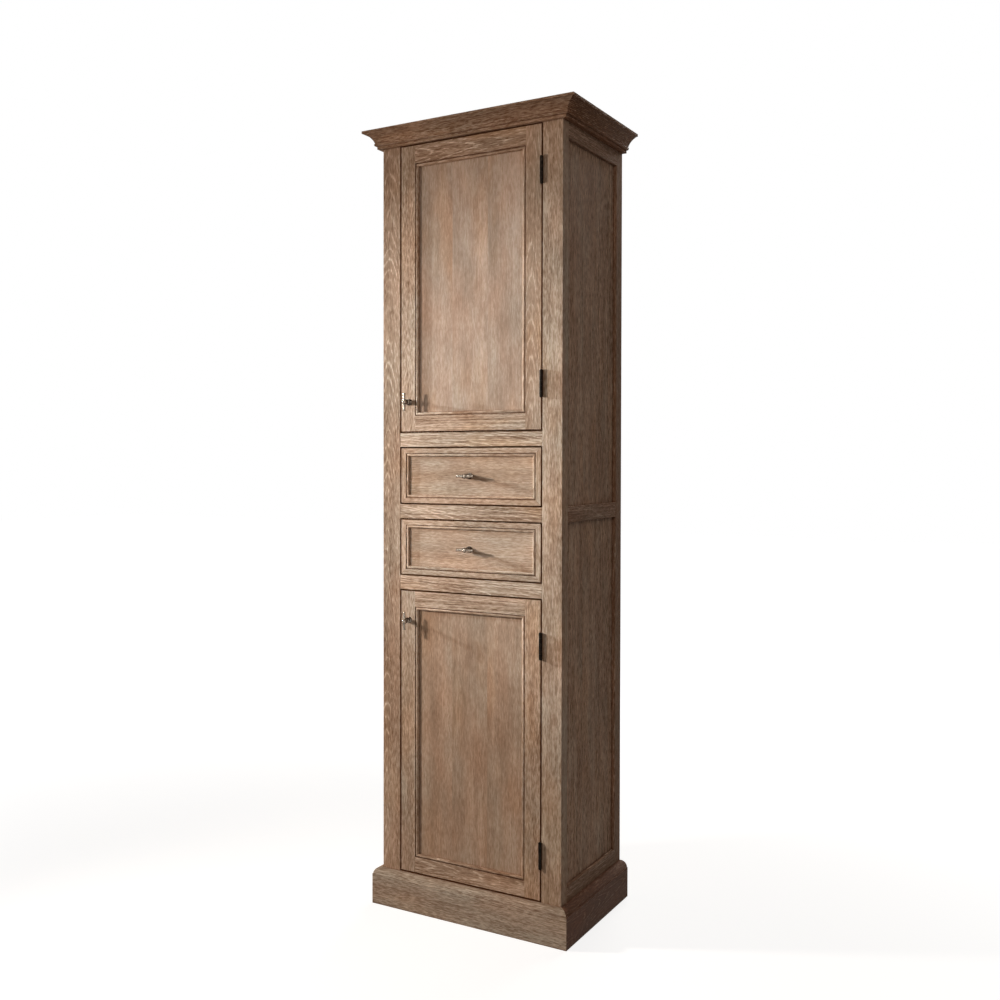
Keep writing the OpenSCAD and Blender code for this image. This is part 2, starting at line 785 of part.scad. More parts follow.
// Left-hand member of a drawer's front frame
module drawer_frame_stile() {
    e = drawer_bead_end;
    translate([-front_half, 0, 0])
        within_outline(drawer_front_t, [[0, 0], [e, e], [e, drawer_front_h - e], [0, drawer_front_h]])
            linear_extrude(drawer_front_h) drawer_section();
}

module drawer_front_frame(bottom) {
    color(wood) at_drawer(bottom) translate([0, y_front, 0]) {
        drawer_frame_rail();
        translate([0, 0, drawer_front_h]) mirror([0, 0, 1]) drawer_frame_rail();
        both_sides() drawer_frame_stile();
    }
}

// The screw's way through a drawer's panel and box front
module drawer_screw_way() {
    translate([0, y_front, drawer_handle_z]) rotate([-90, 0, 0])
        cylinder(h = drawer_front_t + box_t + 1, r = screw_r + screw_play);
}

module drawer_front_panel(bottom) {
    edge = drawer_groove_floor + panel_room;
    color(wood) at_drawer(bottom) difference() {
        block([edge - front_half, drawer_panel_y, edge],
              [front_half - edge, drawer_panel_y + drawer_panel_t, drawer_front_h - edge]);
        drawer_screw_way();
    }
}

// Tails at one end of a drawer side, drawn in Y and Z from the end of the side: wide at Y = 0
// and narrower at the shoulder, between the heights low and high
module tails(low, high) {
    pitch = (high - low) / box_tails;
    wide = pitch * tail_wide_share;
    narrow = pitch * tail_narrow_share;
    for (i = [0:box_tails - 1]) {
        mid = low + (i + 0.5) * pitch;
        polygon([[0, mid - wide / 2], [box_t, mid - narrow / 2],
                 [box_t, mid + narrow / 2], [0, mid + wide / 2]]);
    }
}

// The tails of a right-hand side as a solid across the thickness of that side
module tail_solid(low, high) {
    translate([box_inner_half, 0, 0]) rotate([90, 0, 90]) linear_extrude(box_t) tails(low, high);
}

module front_tails() { translate([0, box_y0, 0]) tail_solid(0, box_h); }
module back_tails() { translate([0, box_y1, 0]) mirror([0, 1, 0]) tail_solid(box_back_z, box_h); }

module bottom_groove_cut() {
    reach = box_inner_half + box_groove;
    block([-reach, box_y0 + box_t - box_groove, box_bottom_lift], [reach, box_y1 + 1, box_back_z]);
}

module drawer_side() {
    difference() {
        union() {
            block([box_inner_half, box_y0 + box_t, 0], [box_half, box_y1 - box_t, box_h]);
            block([box_inner_half, box_y1 - box_t - 1, 0], [box_half, box_y1, box_back_z]);
            front_tails();
            back_tails();
        }
        bottom_groove_cut();
    }
}

module drawer_box_sides(bottom) { color(inner_wood) at_drawer(bottom) both_sides() drawer_side(); }

module drawer_box_ends(bottom) {
    color(inner_wood) at_drawer(bottom) difference() {
        union() {
            block([-box_half, box_y0, 0], [box_half, box_y0 + box_t, box_h]);
            block([-box_half, box_y1 - box_t, box_back_z], [box_half, box_y1, box_h]);
        }
        both_sides() front_tails();
        both_sides() back_tails();
        bottom_groove_cut();
        drawer_screw_way();
    }
}

module drawer_bottom(bottom) {
    reach = box_inner_half + box_groove - panel_room;
    color(inner_wood) at_drawer(bottom)
        block([-reach, box_y0 + box_t - box_groove + panel_room, box_bottom_lift],
              [reach, box_y1, box_back_z]);
}

module drawer_handle(bottom) {
    color(nickel) at_drawer(bottom) translate([0, drawer_panel_y, drawer_handle_z])
        bar_handle(drawer_front_t - drawer_recess + box_t);
}

module lower_drawer_front_frame() { drawer_front_frame(drawer1_z); }
module lower_drawer_front_panel() { drawer_front_panel(drawer1_z); }
module lower_drawer_box_sides() { drawer_box_sides(drawer1_z); }
module lower_drawer_box_ends() { drawer_box_ends(drawer1_z); }
module lower_drawer_bottom() { drawer_bottom(drawer1_z); }
module lower_drawer_handle() { drawer_handle(drawer1_z); }
module upper_drawer_front_frame() { drawer_front_frame(drawer2_z); }
module upper_drawer_front_panel() { drawer_front_panel(drawer2_z); }
module upper_drawer_box_sides() { drawer_box_sides(drawer2_z); }
module upper_drawer_box_ends() { drawer_box_ends(drawer2_z); }
module upper_drawer_bottom() { drawer_bottom(drawer2_z); }
module upper_drawer_handle() { drawer_handle(drawer2_z); }

// A runner from post to post: a ledge under the box, a guide beside it and a stop behind it
module drawer_runner(bottom) {
    ledge_top = bottom + runner_z;
    guide_top = ledge_top + runner_guide;
    block([box_half - runner_reach, y_post, ledge_top - runner_ledge],
          [inner_half, y_back_post, ledge_top]);
    block([box_half + run_gap, y_post, ledge_top - 1], [inner_half, y_back_post, guide_top]);
    block([box_half - runner_reach, box_y1 + run_gap, ledge_top - 1],
          [box_half + run_gap + 1, y_back_post, guide_top]);
}

module drawer_runners() {
    color(inner_wood) both_sides() for (bottom = [drawer1_z, drawer2_z]) drawer_runner(bottom);
}

front_post_left();
front_post_right();
back_post_left();
back_post_right();
bottom_front_rail();
drawer_rails();
top_front_rail();
side_rails_left();
side_rails_right();
side_panels_left();
side_panels_right();
back_panel();
back_rails();
floor_board();
drawer_bay_floor();
upper_floor_board();
top_board();
plinth_front();
plinth_left();
plinth_right();
cornice_front();
cornice_left();
cornice_right();
drawer_runners();
upper_shelf_high();
upper_shelf_low();
lower_shelf();
board_cleats();
hinge_post_leaves();
hinge_pins();
door_catches();
upper_door_hinge_stile();
upper_door_lock_stile();
upper_door_top_rail();
upper_door_bottom_rail();
upper_door_panel();
upper_door_hinge_leaves();
upper_door_handle();
upper_door_strike();
lower_door_hinge_stile();
lower_door_lock_stile();
lower_door_top_rail();
lower_door_bottom_rail();
lower_door_panel();
lower_door_hinge_leaves();
lower_door_handle();
lower_door_strike();
upper_drawer_front_frame();
upper_drawer_front_panel();
upper_drawer_box_sides();
upper_drawer_box_ends();
upper_drawer_bottom();
upper_drawer_handle();
lower_drawer_front_frame();
lower_drawer_front_panel();
lower_drawer_box_sides();
lower_drawer_box_ends();
lower_drawer_bottom();
lower_drawer_handle();
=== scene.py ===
import json
import math

import bpy
from mathutils import Matrix, Vector

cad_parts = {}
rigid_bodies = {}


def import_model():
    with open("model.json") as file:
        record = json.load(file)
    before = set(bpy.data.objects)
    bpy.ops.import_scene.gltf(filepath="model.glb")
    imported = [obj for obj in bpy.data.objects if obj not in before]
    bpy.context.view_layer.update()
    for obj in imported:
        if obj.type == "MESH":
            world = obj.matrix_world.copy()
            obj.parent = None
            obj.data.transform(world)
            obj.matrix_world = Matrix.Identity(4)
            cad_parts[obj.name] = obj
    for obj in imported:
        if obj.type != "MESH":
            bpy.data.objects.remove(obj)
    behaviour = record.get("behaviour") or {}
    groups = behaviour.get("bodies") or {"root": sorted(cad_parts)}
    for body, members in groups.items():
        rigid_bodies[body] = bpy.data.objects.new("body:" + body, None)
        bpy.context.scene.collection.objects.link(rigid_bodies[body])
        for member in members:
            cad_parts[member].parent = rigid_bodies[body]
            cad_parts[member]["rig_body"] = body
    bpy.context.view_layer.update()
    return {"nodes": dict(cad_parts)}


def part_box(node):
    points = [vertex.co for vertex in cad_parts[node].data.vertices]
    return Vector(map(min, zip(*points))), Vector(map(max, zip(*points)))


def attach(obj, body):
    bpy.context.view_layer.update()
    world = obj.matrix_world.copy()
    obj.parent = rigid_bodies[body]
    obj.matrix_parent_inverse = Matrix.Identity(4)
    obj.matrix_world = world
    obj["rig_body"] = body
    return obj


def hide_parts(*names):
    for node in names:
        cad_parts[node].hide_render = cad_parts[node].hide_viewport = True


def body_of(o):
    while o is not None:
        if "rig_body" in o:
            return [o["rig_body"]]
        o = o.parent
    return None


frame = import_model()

nodes = frame["nodes"]
MM = 0.001

# The front face, and the middle of the gap round each opening: half its width, and its heights
FRONT = -185.5 * MM
OPENING_HALF = 189.75 * MM
OPENING_HEIGHTS = [(95.25 * MM, 820.75 * MM), (860.25 * MM, 1003.25 * MM),
                   (1042.75 * MM, 1185.75 * MM), (1225.25 * MM, 1953.75 * MM)]


# Small tools for building node trees

def fill(tree, made, inputs):
    """Gives a node its inputs, as values or as sockets to link from."""
    for key, value in inputs.items():
        if isinstance(value, bpy.types.NodeSocket):
            tree.links.new(value, made.inputs[key])
        else:
            made.inputs[key].default_value = value


def add_node(tree, kind, inputs=None, **settings):
    """A new node with its settings and its inputs."""
    made = tree.nodes.new(kind)
    for key, value in settings.items():
        setattr(made, key, value)
    fill(tree, made, inputs or {})
    return made


def number(tree, operation, a, b=0.0, c=0.0):
    """One step of arithmetic on numbers."""
    return add_node(tree, "ShaderNodeMath", {0: a, 1: b, 2: c}, operation=operation).outputs[0]


def swayed(tree, value, wave, amount):
    """A value pushed up and down by a noise: an amount of 1 pushes it by half at most."""
    return number(tree, "MULTIPLY_ADD", number(tree, "SUBTRACT", wave, 0.5), amount, value)


def vector(tree, operation, a, b=(0.0, 0.0, 0.0), scale=1.0):
    """One step of arithmetic on vectors."""
    made = add_node(tree, "ShaderNodeVectorMath", {0: a, 1: b}, operation=operation)
    if operation == "SCALE":
        fill(tree, made, {"Scale": scale})
    return made.outputs["Value" if operation in ("LENGTH", "DOT_PRODUCT") else "Vector"]


def parts_of(tree, value):
    """The X, Y and Z of a vector."""
    return add_node(tree, "ShaderNodeSeparateXYZ", {0: value}).outputs


def vector_of(tree, x, y, z=0.0):
    """A vector made of its X, Y and Z."""
    return add_node(tree, "ShaderNodeCombineXYZ", {"X": x, "Y": y, "Z": z}).outputs[0]


def ranged(tree, value, low, high, to_low=0.0, to_high=1.0, smooth=True):
    """A value brought from one range to another, and held at its ends."""
    return add_node(tree, "ShaderNodeMapRange",
                    {"Value": value, "From Min": low, "From Max": high,
                     "To Min": to_low, "To Max": to_high},
                    interpolation_type="SMOOTHSTEP" if smooth else "LINEAR").outputs[0]


def blended(tree, factor, a, b, mode="MIX"):
    """Two colours mixed by a factor."""
    return add_node(tree, "ShaderNodeMix", {0: factor, 6: a, 7: b},
                    data_type="RGBA", blend_type=mode, clamp_factor=True).outputs[2]


def noise(tree, where, scale, detail=2.0, roughness=0.5):
    """Plain noise at a place, about 0.5 on average."""
    return add_node(tree, "ShaderNodeTexNoise",
                    {"Vector": where, "Scale": scale, "Detail": detail,
                     "Roughness": roughness}).outputs[0]


def object_place(tree):
    """Where a point lies in its object, which is also where it lies in the room at rest."""
    return add_node(tree, "ShaderNodeTexCoord").outputs["Object"]


def new_group(name, inputs, outputs):
    """A shader node group with named inputs, as (name, kind, value), and named outputs."""
    group = bpy.data.node_groups.new(name, "ShaderNodeTree")
    for label, kind, value in inputs:
        made = group.interface.new_socket(label, in_out="INPUT", socket_type="NodeSocket" + kind)
        if value is not None:
            made.default_value = value
    for label, kind in outputs:
        group.interface.new_socket(label, in_out="OUTPUT", socket_type="NodeSocket" + kind)
    given = group.nodes.new("NodeGroupInput").outputs
    result = group.nodes.new("NodeGroupOutput").inputs
    return group, given, result


def place_group(tree, group, inputs):
    """A group placed in a tree."""
    return add_node(tree, "ShaderNodeGroup", inputs, node_tree=group).outputs


# Shared effects

# A pitch wider than any node, which leaves it one board
UNCUT = 9.0

# How much a board's own number grows from one board to the next, on each axis
BOARD_STEPS = (1.37, 2.91, 4.73)

# How far the grain moves on with a board's number, so that no two boards are alike
SEED_SHIFT = (7.31, 3.17, 11.9)

# The noises in the oak: how far each is drawn out along the grain, its scale, detail and roughness.
# The rings wander by slow, wave and quick. Then come flecks, pores and long fine streaks, soft
# bands, broad patches and clouds, and where the tint and the amber stain change.
OAK_NOISES = {
    "slow": (0.22, 13.0, 1.0, 0.5), "wave": (0.10, 60.0, 2.0, 0.5),
    "quick": (0.04, 520.0, 2.0, 0.6), "fleck": (0.16, 380.0, 2.0, 0.65),
    "pore": (0.06, 1500.0, 1.0, 0.5),
    "streak": (0.018, 300.0, 3.0, 0.65), "band": (0.05, 48.0, 2.0, 0.5),
    "patch": (0.35, 9.0, 2.0, 0.5), "cloud": (0.4, 30.0, 2.0, 0.5),
    "tint": (0.3, 16.0, 2.0, 0.5), "stain": (0.3, 11.0, 3.0, 0.55),
}

# How much of a ring's width the two finer noises push it
WAVE_PUSH, QUICK_PUSH = 0.8, 0.45

# Where in a ring the soft wood rises and falls off, and how soft each ring is by chance
RING_RISES, RING_FALLS, RING_CHANCE = (0.84, 1.0), (0.0, 0.30, 1.0, 0.0), (0.0, 1.0, 0.25, 1.0)

# The noise that makes a pore, breaks a ring into dashes and makes a stain
PORE_RANGE, DASH_RANGE, STAIN_RANGE = (0.52, 0.66), (0.38, 0.60, 0.35, 1.5), (0.48, 0.68)
DASH_MIDDLE = 0.25

# How much lighter filled pores are, how much the tint changes, and the tints
PORE_LIGHT, TINT_SWING = 0.22, 2.2
GREYISH, PINKISH, AMBER = (0.95, 1.0, 1.0, 1), (1.08, 0.98, 0.91, 1), (1.08, 0.91, 0.72, 1)

# The roughness of the darkest wood, how much rougher the lightest is, and how deep the pores
# and the soft part of a ring lie
OAK_ROUGH, LIGHT_ROUGH, PORE_DEPTH, SOFT_DEPTH = 0.62, 0.15, 0.6, 0.4

# The seeds of a mitred frame's members: how far apart the two level ones and the two upright ones
# are, and where the upright ones lie. Then how near a mitre its glue line is.
LEVEL_STEP, UPRIGHT_STEP, UPRIGHT_SEED = 2.3, 3.7, 9.1
JOINT_RANGE = (0.1 * MM, 0.6 * MM, 1.0, 0.0)

# Painted shade in creases, in a dark wax colour: how far it reaches, how shaded a spot is that gets
# it, and how uneven it is, as the scale of the noise and how much the noise sways it
SHADE_REACH, CREASE_SHADE = 5.0 * MM, (0.20, 0.80, 1.0, 0.0)
CREASE_NOISE, CREASE_SWAY = 160.0, 0.25

# Painted shade of the gaps round the openings, in a dark wax colour: how sharply it ends on the
# face, how far it goes round to the inside, and how uneven it is
EDGE_RANGE = (-0.2 * MM, 0.3 * MM, 1.0, 0.0)
ROUND_TO_INSIDE = (FRONT + 2.0 * MM, FRONT + 6.0 * MM, 1.0, 0.0)
EDGE_NOISE, EDGE_SWAY = 90.0, 0.8 * MM


def make_board_split():
    """Splits a surface into boards side by side: each gets its own centre and its own number."""
    group, given, result = new_group(
        "board_split",
        [("Vector", "Vector", None), ("Pitch", "Vector", (UNCUT, UNCUT, UNCUT)),
         ("Seed", "Float", 0.0)],
        [("Vector", "Vector"), ("Seed", "Float")])
    steps = vector(group, "DIVIDE", given["Vector"], given["Pitch"])
    index = vector(group, "FLOOR", vector(group, "ADD", steps, (0.5, 0.5, 0.5)))
    offset = vector(group, "MULTIPLY", index, given["Pitch"])
    group.links.new(vector(group, "SUBTRACT", given["Vector"], offset), result["Vector"])
    own = vector(group, "DOT_PRODUCT", index, BOARD_STEPS)
    group.links.new(number(group, "ADD", own, given["Seed"]), result["Seed"])
    return group


def make_mitre_split():
    """Splits a flat frame into four mitred members, each with its grain along its own length."""
    group, given, result = new_group(
        "mitre_split",
        [("Vector", "Vector", None), ("Half Size", "Vector", (0.19, 0.0, 0.07)),
         ("Member", "Float", 0.022), ("Seed", "Float", 0.0)],
        [("Vector", "Vector"), ("Seed", "Float"), ("Joint", "Float")])
    part = parts_of(group, given["Vector"])
    from_middle = vector(group, "ABSOLUTE", given["Vector"])
    edge = parts_of(group, vector(group, "SUBTRACT", given["Half Size"], from_middle))
    level = number(group, "LESS_THAN", edge["Z"], edge["X"])
    off_line = number(group, "ABSOLUTE", number(group, "SUBTRACT", edge["Z"], edge["X"]))
    middle = number(group, "MULTIPLY", given["Member"], 0.5)
    laid = vector_of(group, number(group, "SUBTRACT", edge["Z"], middle), part["Y"], part["X"])
    stood = vector_of(group, number(group, "SUBTRACT", edge["X"], middle), part["Y"], part["Z"])
    chosen = add_node(group, "ShaderNodeMix", {"Factor": level, 4: stood, 5: laid},
                      data_type="VECTOR").outputs[1]
    group.links.new(chosen, result["Vector"])
    level_seed = number(group, "MULTIPLY", number(group, "SIGN", part["Z"]), LEVEL_STEP)
    upright_seed = number(group, "MULTIPLY_ADD", number(group, "SIGN", part["X"]),
                          UPRIGHT_STEP, UPRIGHT_SEED)
    own = add_node(group, "ShaderNodeMix",
                   {"Factor": level, 2: upright_seed, 3: level_seed}).outputs[0]
    group.links.new(number(group, "ADD", own, given["Seed"]), result["Seed"])
    group.links.new(ranged(group, off_line, *JOINT_RANGE), result["Joint"])
    return group


def make_oak_grain():
    """Limed oak. Z runs along the grain, X across the board and Y into it, from its middle."""
    group, given, result = new_group(
        "oak_grain",
        [("Vector", "Vector", None), ("Seed", "Float", 0.0),
         ("Heart", "Vector", (0.25, 0.1, 0.0)), ("Lean", "Vector", (0.01, 0.01, 0.0)),
         ("Ring", "Float", 0.0028), ("Wander", "Float", 0.012), ("Figure", "Float", 0.40),
         ("Fleck", "Float", 1.3), ("Streak", "Float", 0.45), ("Patch", "Float", 0.35),
         ("Tone", "Float", 0.0), ("Warmth", "Float", 0.5), ("Amber", "Float", 0.3),
         ("Deep", "Color", (0.185, 0.108, 0.066, 1)),
         ("Brown", "Color", (0.475, 0.340, 0.256, 1)),
         ("Cream", "Color", (0.80, 0.672, 0.565, 1))],
        [("Color", "Color"), ("Roughness", "Float"), ("Height", "Float")])
    shift = vector(group, "SCALE", SEED_SHIFT, scale=given["Seed"])
    place = vector(group, "ADD", given["Vector"], shift)
    waves = {name: noise(group, vector(group, "MULTIPLY", place, (1.0, 1.0, drawn)), *settings)
             for name, (drawn, *settings) in OAK_NOISES.items()}

    # Growth rings round a leaning heart, soft where a ring begins and ends
    leaned = vector(group, "SCALE", given["Lean"], scale=parts_of(group, given["Vector"])["Z"])
    flat = vector(group, "MULTIPLY", given["Vector"], (1.0, 1.0, 0.0))
    away = vector(group, "SUBTRACT", vector(group, "SUBTRACT", flat, given["Heart"]), leaned)
    radius = swayed(group, vector(group, "LENGTH", away), waves["slow"], given["Wander"])
    phase = number(group, "DIVIDE", radius, given["Ring"])
    phase = number(group, "MULTIPLY_ADD", waves["wave"], WAVE_PUSH, phase)
    phase = number(group, "MULTIPLY_ADD", waves["quick"], QUICK_PUSH, phase)
    turn = number(group, "FRACT", phase)
    chance = add_node(group, "ShaderNodeTexWhiteNoise", {"W": number(group, "FLOOR", phase)},
                      noise_dimensions="1D").outputs["Value"]
    soft = number(group, "MAXIMUM", ranged(group, turn, *RING_RISES),
                  ranged(group, turn, *RING_FALLS))
    soft = number(group, "MULTIPLY", soft, ranged(group, chance, *RING_CHANCE))

    # How light each spot is: 0 is deep brown, 1 is the white filler
    pores = ranged(group, waves["pore"], *PORE_RANGE)
    dashed = number(group, "MULTIPLY", soft, ranged(group, waves["fleck"], *DASH_RANGE))
    dashed = number(group, "SUBTRACT", dashed, DASH_MIDDLE)
    light = number(group, "MULTIPLY_ADD", dashed, given["Figure"], 0.5)
    light = swayed(group, light, waves["fleck"], given["Fleck"])
    light = swayed(group, light, waves["streak"], given["Streak"])
    light = number(group, "MULTIPLY_ADD", number(group, "MULTIPLY", pores, soft), PORE_LIGHT, light)
    for name in ("band", "patch", "cloud"):
        light = swayed(group, light, waves[name], given["Patch"])
    light = number(group, "ADD", light, given["Tone"])
    darker = ranged(group, light, 0.0, 0.5, smooth=False)
    lighter = ranged(group, light, 0.5, 1.0, smooth=False)
    colour = blended(group, darker, given["Deep"], given["Brown"])
    colour = blended(group, lighter, colour, given["Cream"])

    # Pinkish brown in some places, greyish tan in others, and amber stains
    warm = swayed(group, given["Warmth"], waves["tint"], TINT_SWING)
    colour = blended(group, 1.0, colour, blended(group, warm, GREYISH, PINKISH), "MULTIPLY")
    stain = number(group, "MULTIPLY", ranged(group, waves["stain"], *STAIN_RANGE), given["Amber"])
    colour = blended(group, stain, colour, blended(group, 1.0, colour, AMBER, "MULTIPLY"))
    group.links.new(colour, result["Color"])
    group.links.new(number(group, "MULTIPLY_ADD", light, LIGHT_ROUGH, OAK_ROUGH),
                    result["Roughness"])
    sunk = number(group, "MULTIPLY", soft, -SOFT_DEPTH)
    group.links.new(number(group, "MULTIPLY_ADD", pores, -PORE_DEPTH, sunk), result["Height"])
    return group


def make_painted_crease_shade():
    """Painted shade: quirks, gaps and corners darkened to a dark wax colour by how enclosed they
    are.
    """
    group, given, result = new_group(
        "painted_crease_shade",
        [("Color", "Color", (0.5, 0.5, 0.5, 1)), ("Vector", "Vector", None),
         ("Reach", "Float", SHADE_REACH), ("Amount", "Float", 0.90),
         ("Shade Colour", "Color", (0.135, 0.050, 0.017, 1))],
        [("Color", "Color")])
    # Painted shade: ambient occlusion darkens the colour in creases
    near = add_node(group, "ShaderNodeAmbientOcclusion", {"Distance": given["Reach"]}, samples=6)
    uneven = noise(group, given["Vector"], CREASE_NOISE)
    shade = swayed(group, near.outputs["AO"], uneven, CREASE_SWAY)
    mask = number(group, "MULTIPLY", ranged(group, shade, *CREASE_SHADE), given["Amount"])
    group.links.new(blended(group, mask, given["Color"], given["Shade Colour"]), result["Color"])
    return group


def make_painted_opening_shade():
    """Painted shade of the gaps: a dark line along the arrises of the two doors' and two drawers'
    openings.
    """
    group, given, result = new_group(
        "painted_opening_shade",
        [("Color", "Color", (0.5, 0.5, 0.5, 1)), ("Vector", "Vector", None),
         ("Reach", "Float", 2.0 * MM), ("Amount", "Float", 0.94),
         ("Shade Colour", "Color", (0.115, 0.038, 0.010, 1))],
        [("Color", "Color")])
    part = parts_of(group, given["Vector"])
    past_side = number(group, "SUBTRACT", number(group, "ABSOLUTE", part["X"]), OPENING_HALF)
    nearest = 1.0
    for low, high in OPENING_HEIGHTS:
        rise = number(group, "ABSOLUTE", number(group, "SUBTRACT", part["Z"], (low + high) / 2))
        past_end = number(group, "SUBTRACT", rise, (high - low) / 2)
        inside = number(group, "MINIMUM", number(group, "MAXIMUM", past_side, past_end), 0.0)
        outwards = vector_of(group, number(group, "MAXIMUM", past_side, 0.0),
                             number(group, "MAXIMUM", past_end, 0.0))
        off_line = number(group, "ADD", vector(group, "LENGTH", outwards), inside)
        nearest = number(group, "MINIMUM", nearest, number(group, "ABSOLUTE", off_line))
    uneven = noise(group, given["Vector"], EDGE_NOISE)
    past = number(group, "SUBTRACT", nearest, swayed(group, given["Reach"], uneven, EDGE_SWAY))
    # Painted shade: darkest on the line of the gap, and only near the front face
    mask = number(group, "MULTIPLY", ranged(group, past, *EDGE_RANGE), given["Amount"])
    mask = number(group, "MULTIPLY", mask, ranged(group, part["Y"], *ROUND_TO_INSIDE))
    group.links.new(blended(group, mask, given["Color"], given["Shade Colour"]), result["Color"])
    return group


PAINTED_CREASE_SHADE = make_painted_crease_shade()
PAINTED_OPENING_SHADE = make_painted_opening_shade()
BOARD_SPLIT = make_board_split()
MITRE_SPLIT = make_mitre_split()
OAK_GRAIN = make_oak_grain()


# Materials

# The boards that meet at the gaps round the doors and drawers
ROUND_OPENINGS = ("front_post", "bottom_front_rail", "drawer_rails", "top_front_rail",
                  "upper_door", "lower_door", "upper_drawer_front_frame",
                  "lower_drawer_front_frame")

# The boards whose deep corners get the most painted shade, and how far it reaches there
DEEPLY_SHADED_BOARDS = ("side_rails", "side_panels", "back_post", "plinth")
DEEP_SHADE_REACH = 10.0 * MM

# The glue line of a mitre: how much it shows, and its colour
JOINT_SHOWS, JOINT_DARK = 0.6, (0.10, 0.055, 0.032, 1)

# The oak's low shine, and how strong and how deep its relief is
OAK_SHINE, OAK_BUMP, OAK_RELIEF = 0.04, 0.35, 0.6 * MM


def new_material(name, **constants):
    """A material, its tree and its shader, which has these constants on its own sockets."""
    made = bpy.data.materials.new(name)
    made.use_nodes = True
    shader = made.node_tree.nodes["Principled BSDF"]
    for key, value in constants.items():
        shader.inputs[key.replace("_", " ")].default_value = value
    return made, made.node_tree, shader


def give_look(node, material):
    """Puts a material on a node in place of its plain one."""
    nodes[node].data.materials.clear()
    nodes[node].data.materials.append(material)


def board_turn(grain, depth):
    """The turn that brings a board's grain to Z and its depth to Y."""
    axes = {"X": Vector((1, 0, 0)), "Y": Vector((0, 1, 0)), "Z": Vector((0, 0, 1))}
    along, into = axes[grain], axes[depth]
    across = into.cross(along)
    return Matrix((across, into, along))


def grain_and_painted_shade(node, material, place, split, look):
    """Gives a node's boards their grain, and painted shade in creases and along the gaps round the
    openings.
    """
    made, tree, shader = material
    grain = place_group(tree, OAK_GRAIN, {"Vector": split["Vector"], "Seed": split["Seed"],
                                          **{key.capitalize(): v for key, v in look.items()}})
    colour = grain["Color"]
    if "Joint" in split:
        joint = number(tree, "MULTIPLY", split["Joint"], JOINT_SHOWS)
        colour = blended(tree, joint, colour, JOINT_DARK)
    # Painted shade in creases, deeper on some boards, and along the gaps round the openings
    reach = DEEP_SHADE_REACH if node.startswith(DEEPLY_SHADED_BOARDS) else SHADE_REACH
    colour = place_group(tree, PAINTED_CREASE_SHADE,
                         {"Color": colour, "Vector": place, "Reach": reach})["Color"]
    if node.startswith(ROUND_OPENINGS):
        colour = place_group(tree, PAINTED_OPENING_SHADE, {"Color": colour, "Vector": place})["Color"]
    tree.links.new(colour, shader.inputs["Base Color"])
    tree.links.new(grain["Roughness"], shader.inputs["Roughness"])
    bump = add_node(tree, "ShaderNodeBump", {"Strength": OAK_BUMP, "Distance": OAK_RELIEF,
                                             "Height": grain["Height"]})
    tree.links.new(bump.outputs[0], shader.inputs["Normal"])
    give_look(node, made)


def oak(node, grain, depth, seed, boards=UNCUT, **look):
    """Limed oak for a node made of boards of a width, grain and depth each along an axis."""
    material = new_material("oak_" + node, Specular_IOR_Level=OAK_SHINE)
    tree = material[1]
    turn = board_turn(grain, depth)
    low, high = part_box(node)
    middle = turn @ ((low + high) / 2)
    place = object_place(tree)
    mapped = add_node(tree, "ShaderNodeMapping", {"Vector": place, "Location": -middle,
                                                  "Rotation": turn.to_euler()}).outputs[0]
    split = place_group(tree, BOARD_SPLIT, {"Vector": mapped, "Pitch": (boards, UNCUT, UNCUT),
                                            "Seed": float(seed)})
    grain_and_painted_shade(node, material, place, split, look)


def mitred_oak(node, member, seed, **look):
    """Limed oak for a frame of four mitred members of a width."""
    material = new_material("oak_" + node, Specular_IOR_Level=OAK_SHINE)
    tree = material[1]
    low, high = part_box(node)
    middle = (low + high) / 2
    place = object_place(tree)
    mapped = add_node(tree, "ShaderNodeMapping", {"Vector": place, "Location": -middle}).outputs[0]
    split = place_group(tree, MITRE_SPLIT, {"Vector": mapped, "Half Size": (high - low) / 2,
                                            "Member": member, "Seed": float(seed)})
    grain_and_painted_shade(node, material, place, split, look)


# The axes of a board's grain and of its depth
UP = ("Z", "Y")
LEVEL = ("X", "Y")
SIDE_UP = ("Z", "X")
SIDE_LEVEL = ("Y", "X")
SHELF = ("X", "Z")

# Plain lacquered oak inside, and oak-faced plywood
INNER = {"deep": (0.33, 0.21, 0.125, 1), "brown": (0.56, 0.41, 0.27, 1),
         "cream": (0.73, 0.59, 0.43, 1), "fleck": 0.7, "streak": 0.4, "patch": 0.3}
INNER_BOARDS = {**INNER, "boards": 0.1}
PLYWOOD = {"deep": (0.36, 0.24, 0.15, 1), "brown": (0.56, 0.425, 0.30, 1),
           "cream": (0.70, 0.57, 0.43, 1), "heart": (0.03, 0.015, 0), "lean": (0.01, 0.02, 0),
           "ring": 0.006, "wander": 0.05, "figure": 0.35, "fleck": 0.6, "streak": 0.5,
           "patch": 0.3, "warmth": 0.8}

# Looks that several nodes share
# The right side's back post and rails are painted darker in this brown: painted shade of the side
SHADED_SIDE_BROWN = (0.40, 0.265, 0.195, 1)
SIDE_PANEL = {"boards": 0.09, "fleck": 2.1, "streak": 1.3, "patch": 0.6, "warmth": 0.9}
DOOR_PANEL = {"boards": 0.095, "figure": 0.15, "streak": 0.3}
DRAWER_PANEL = {"figure": 0.3, "fleck": 0.8, "tone": 0.03}

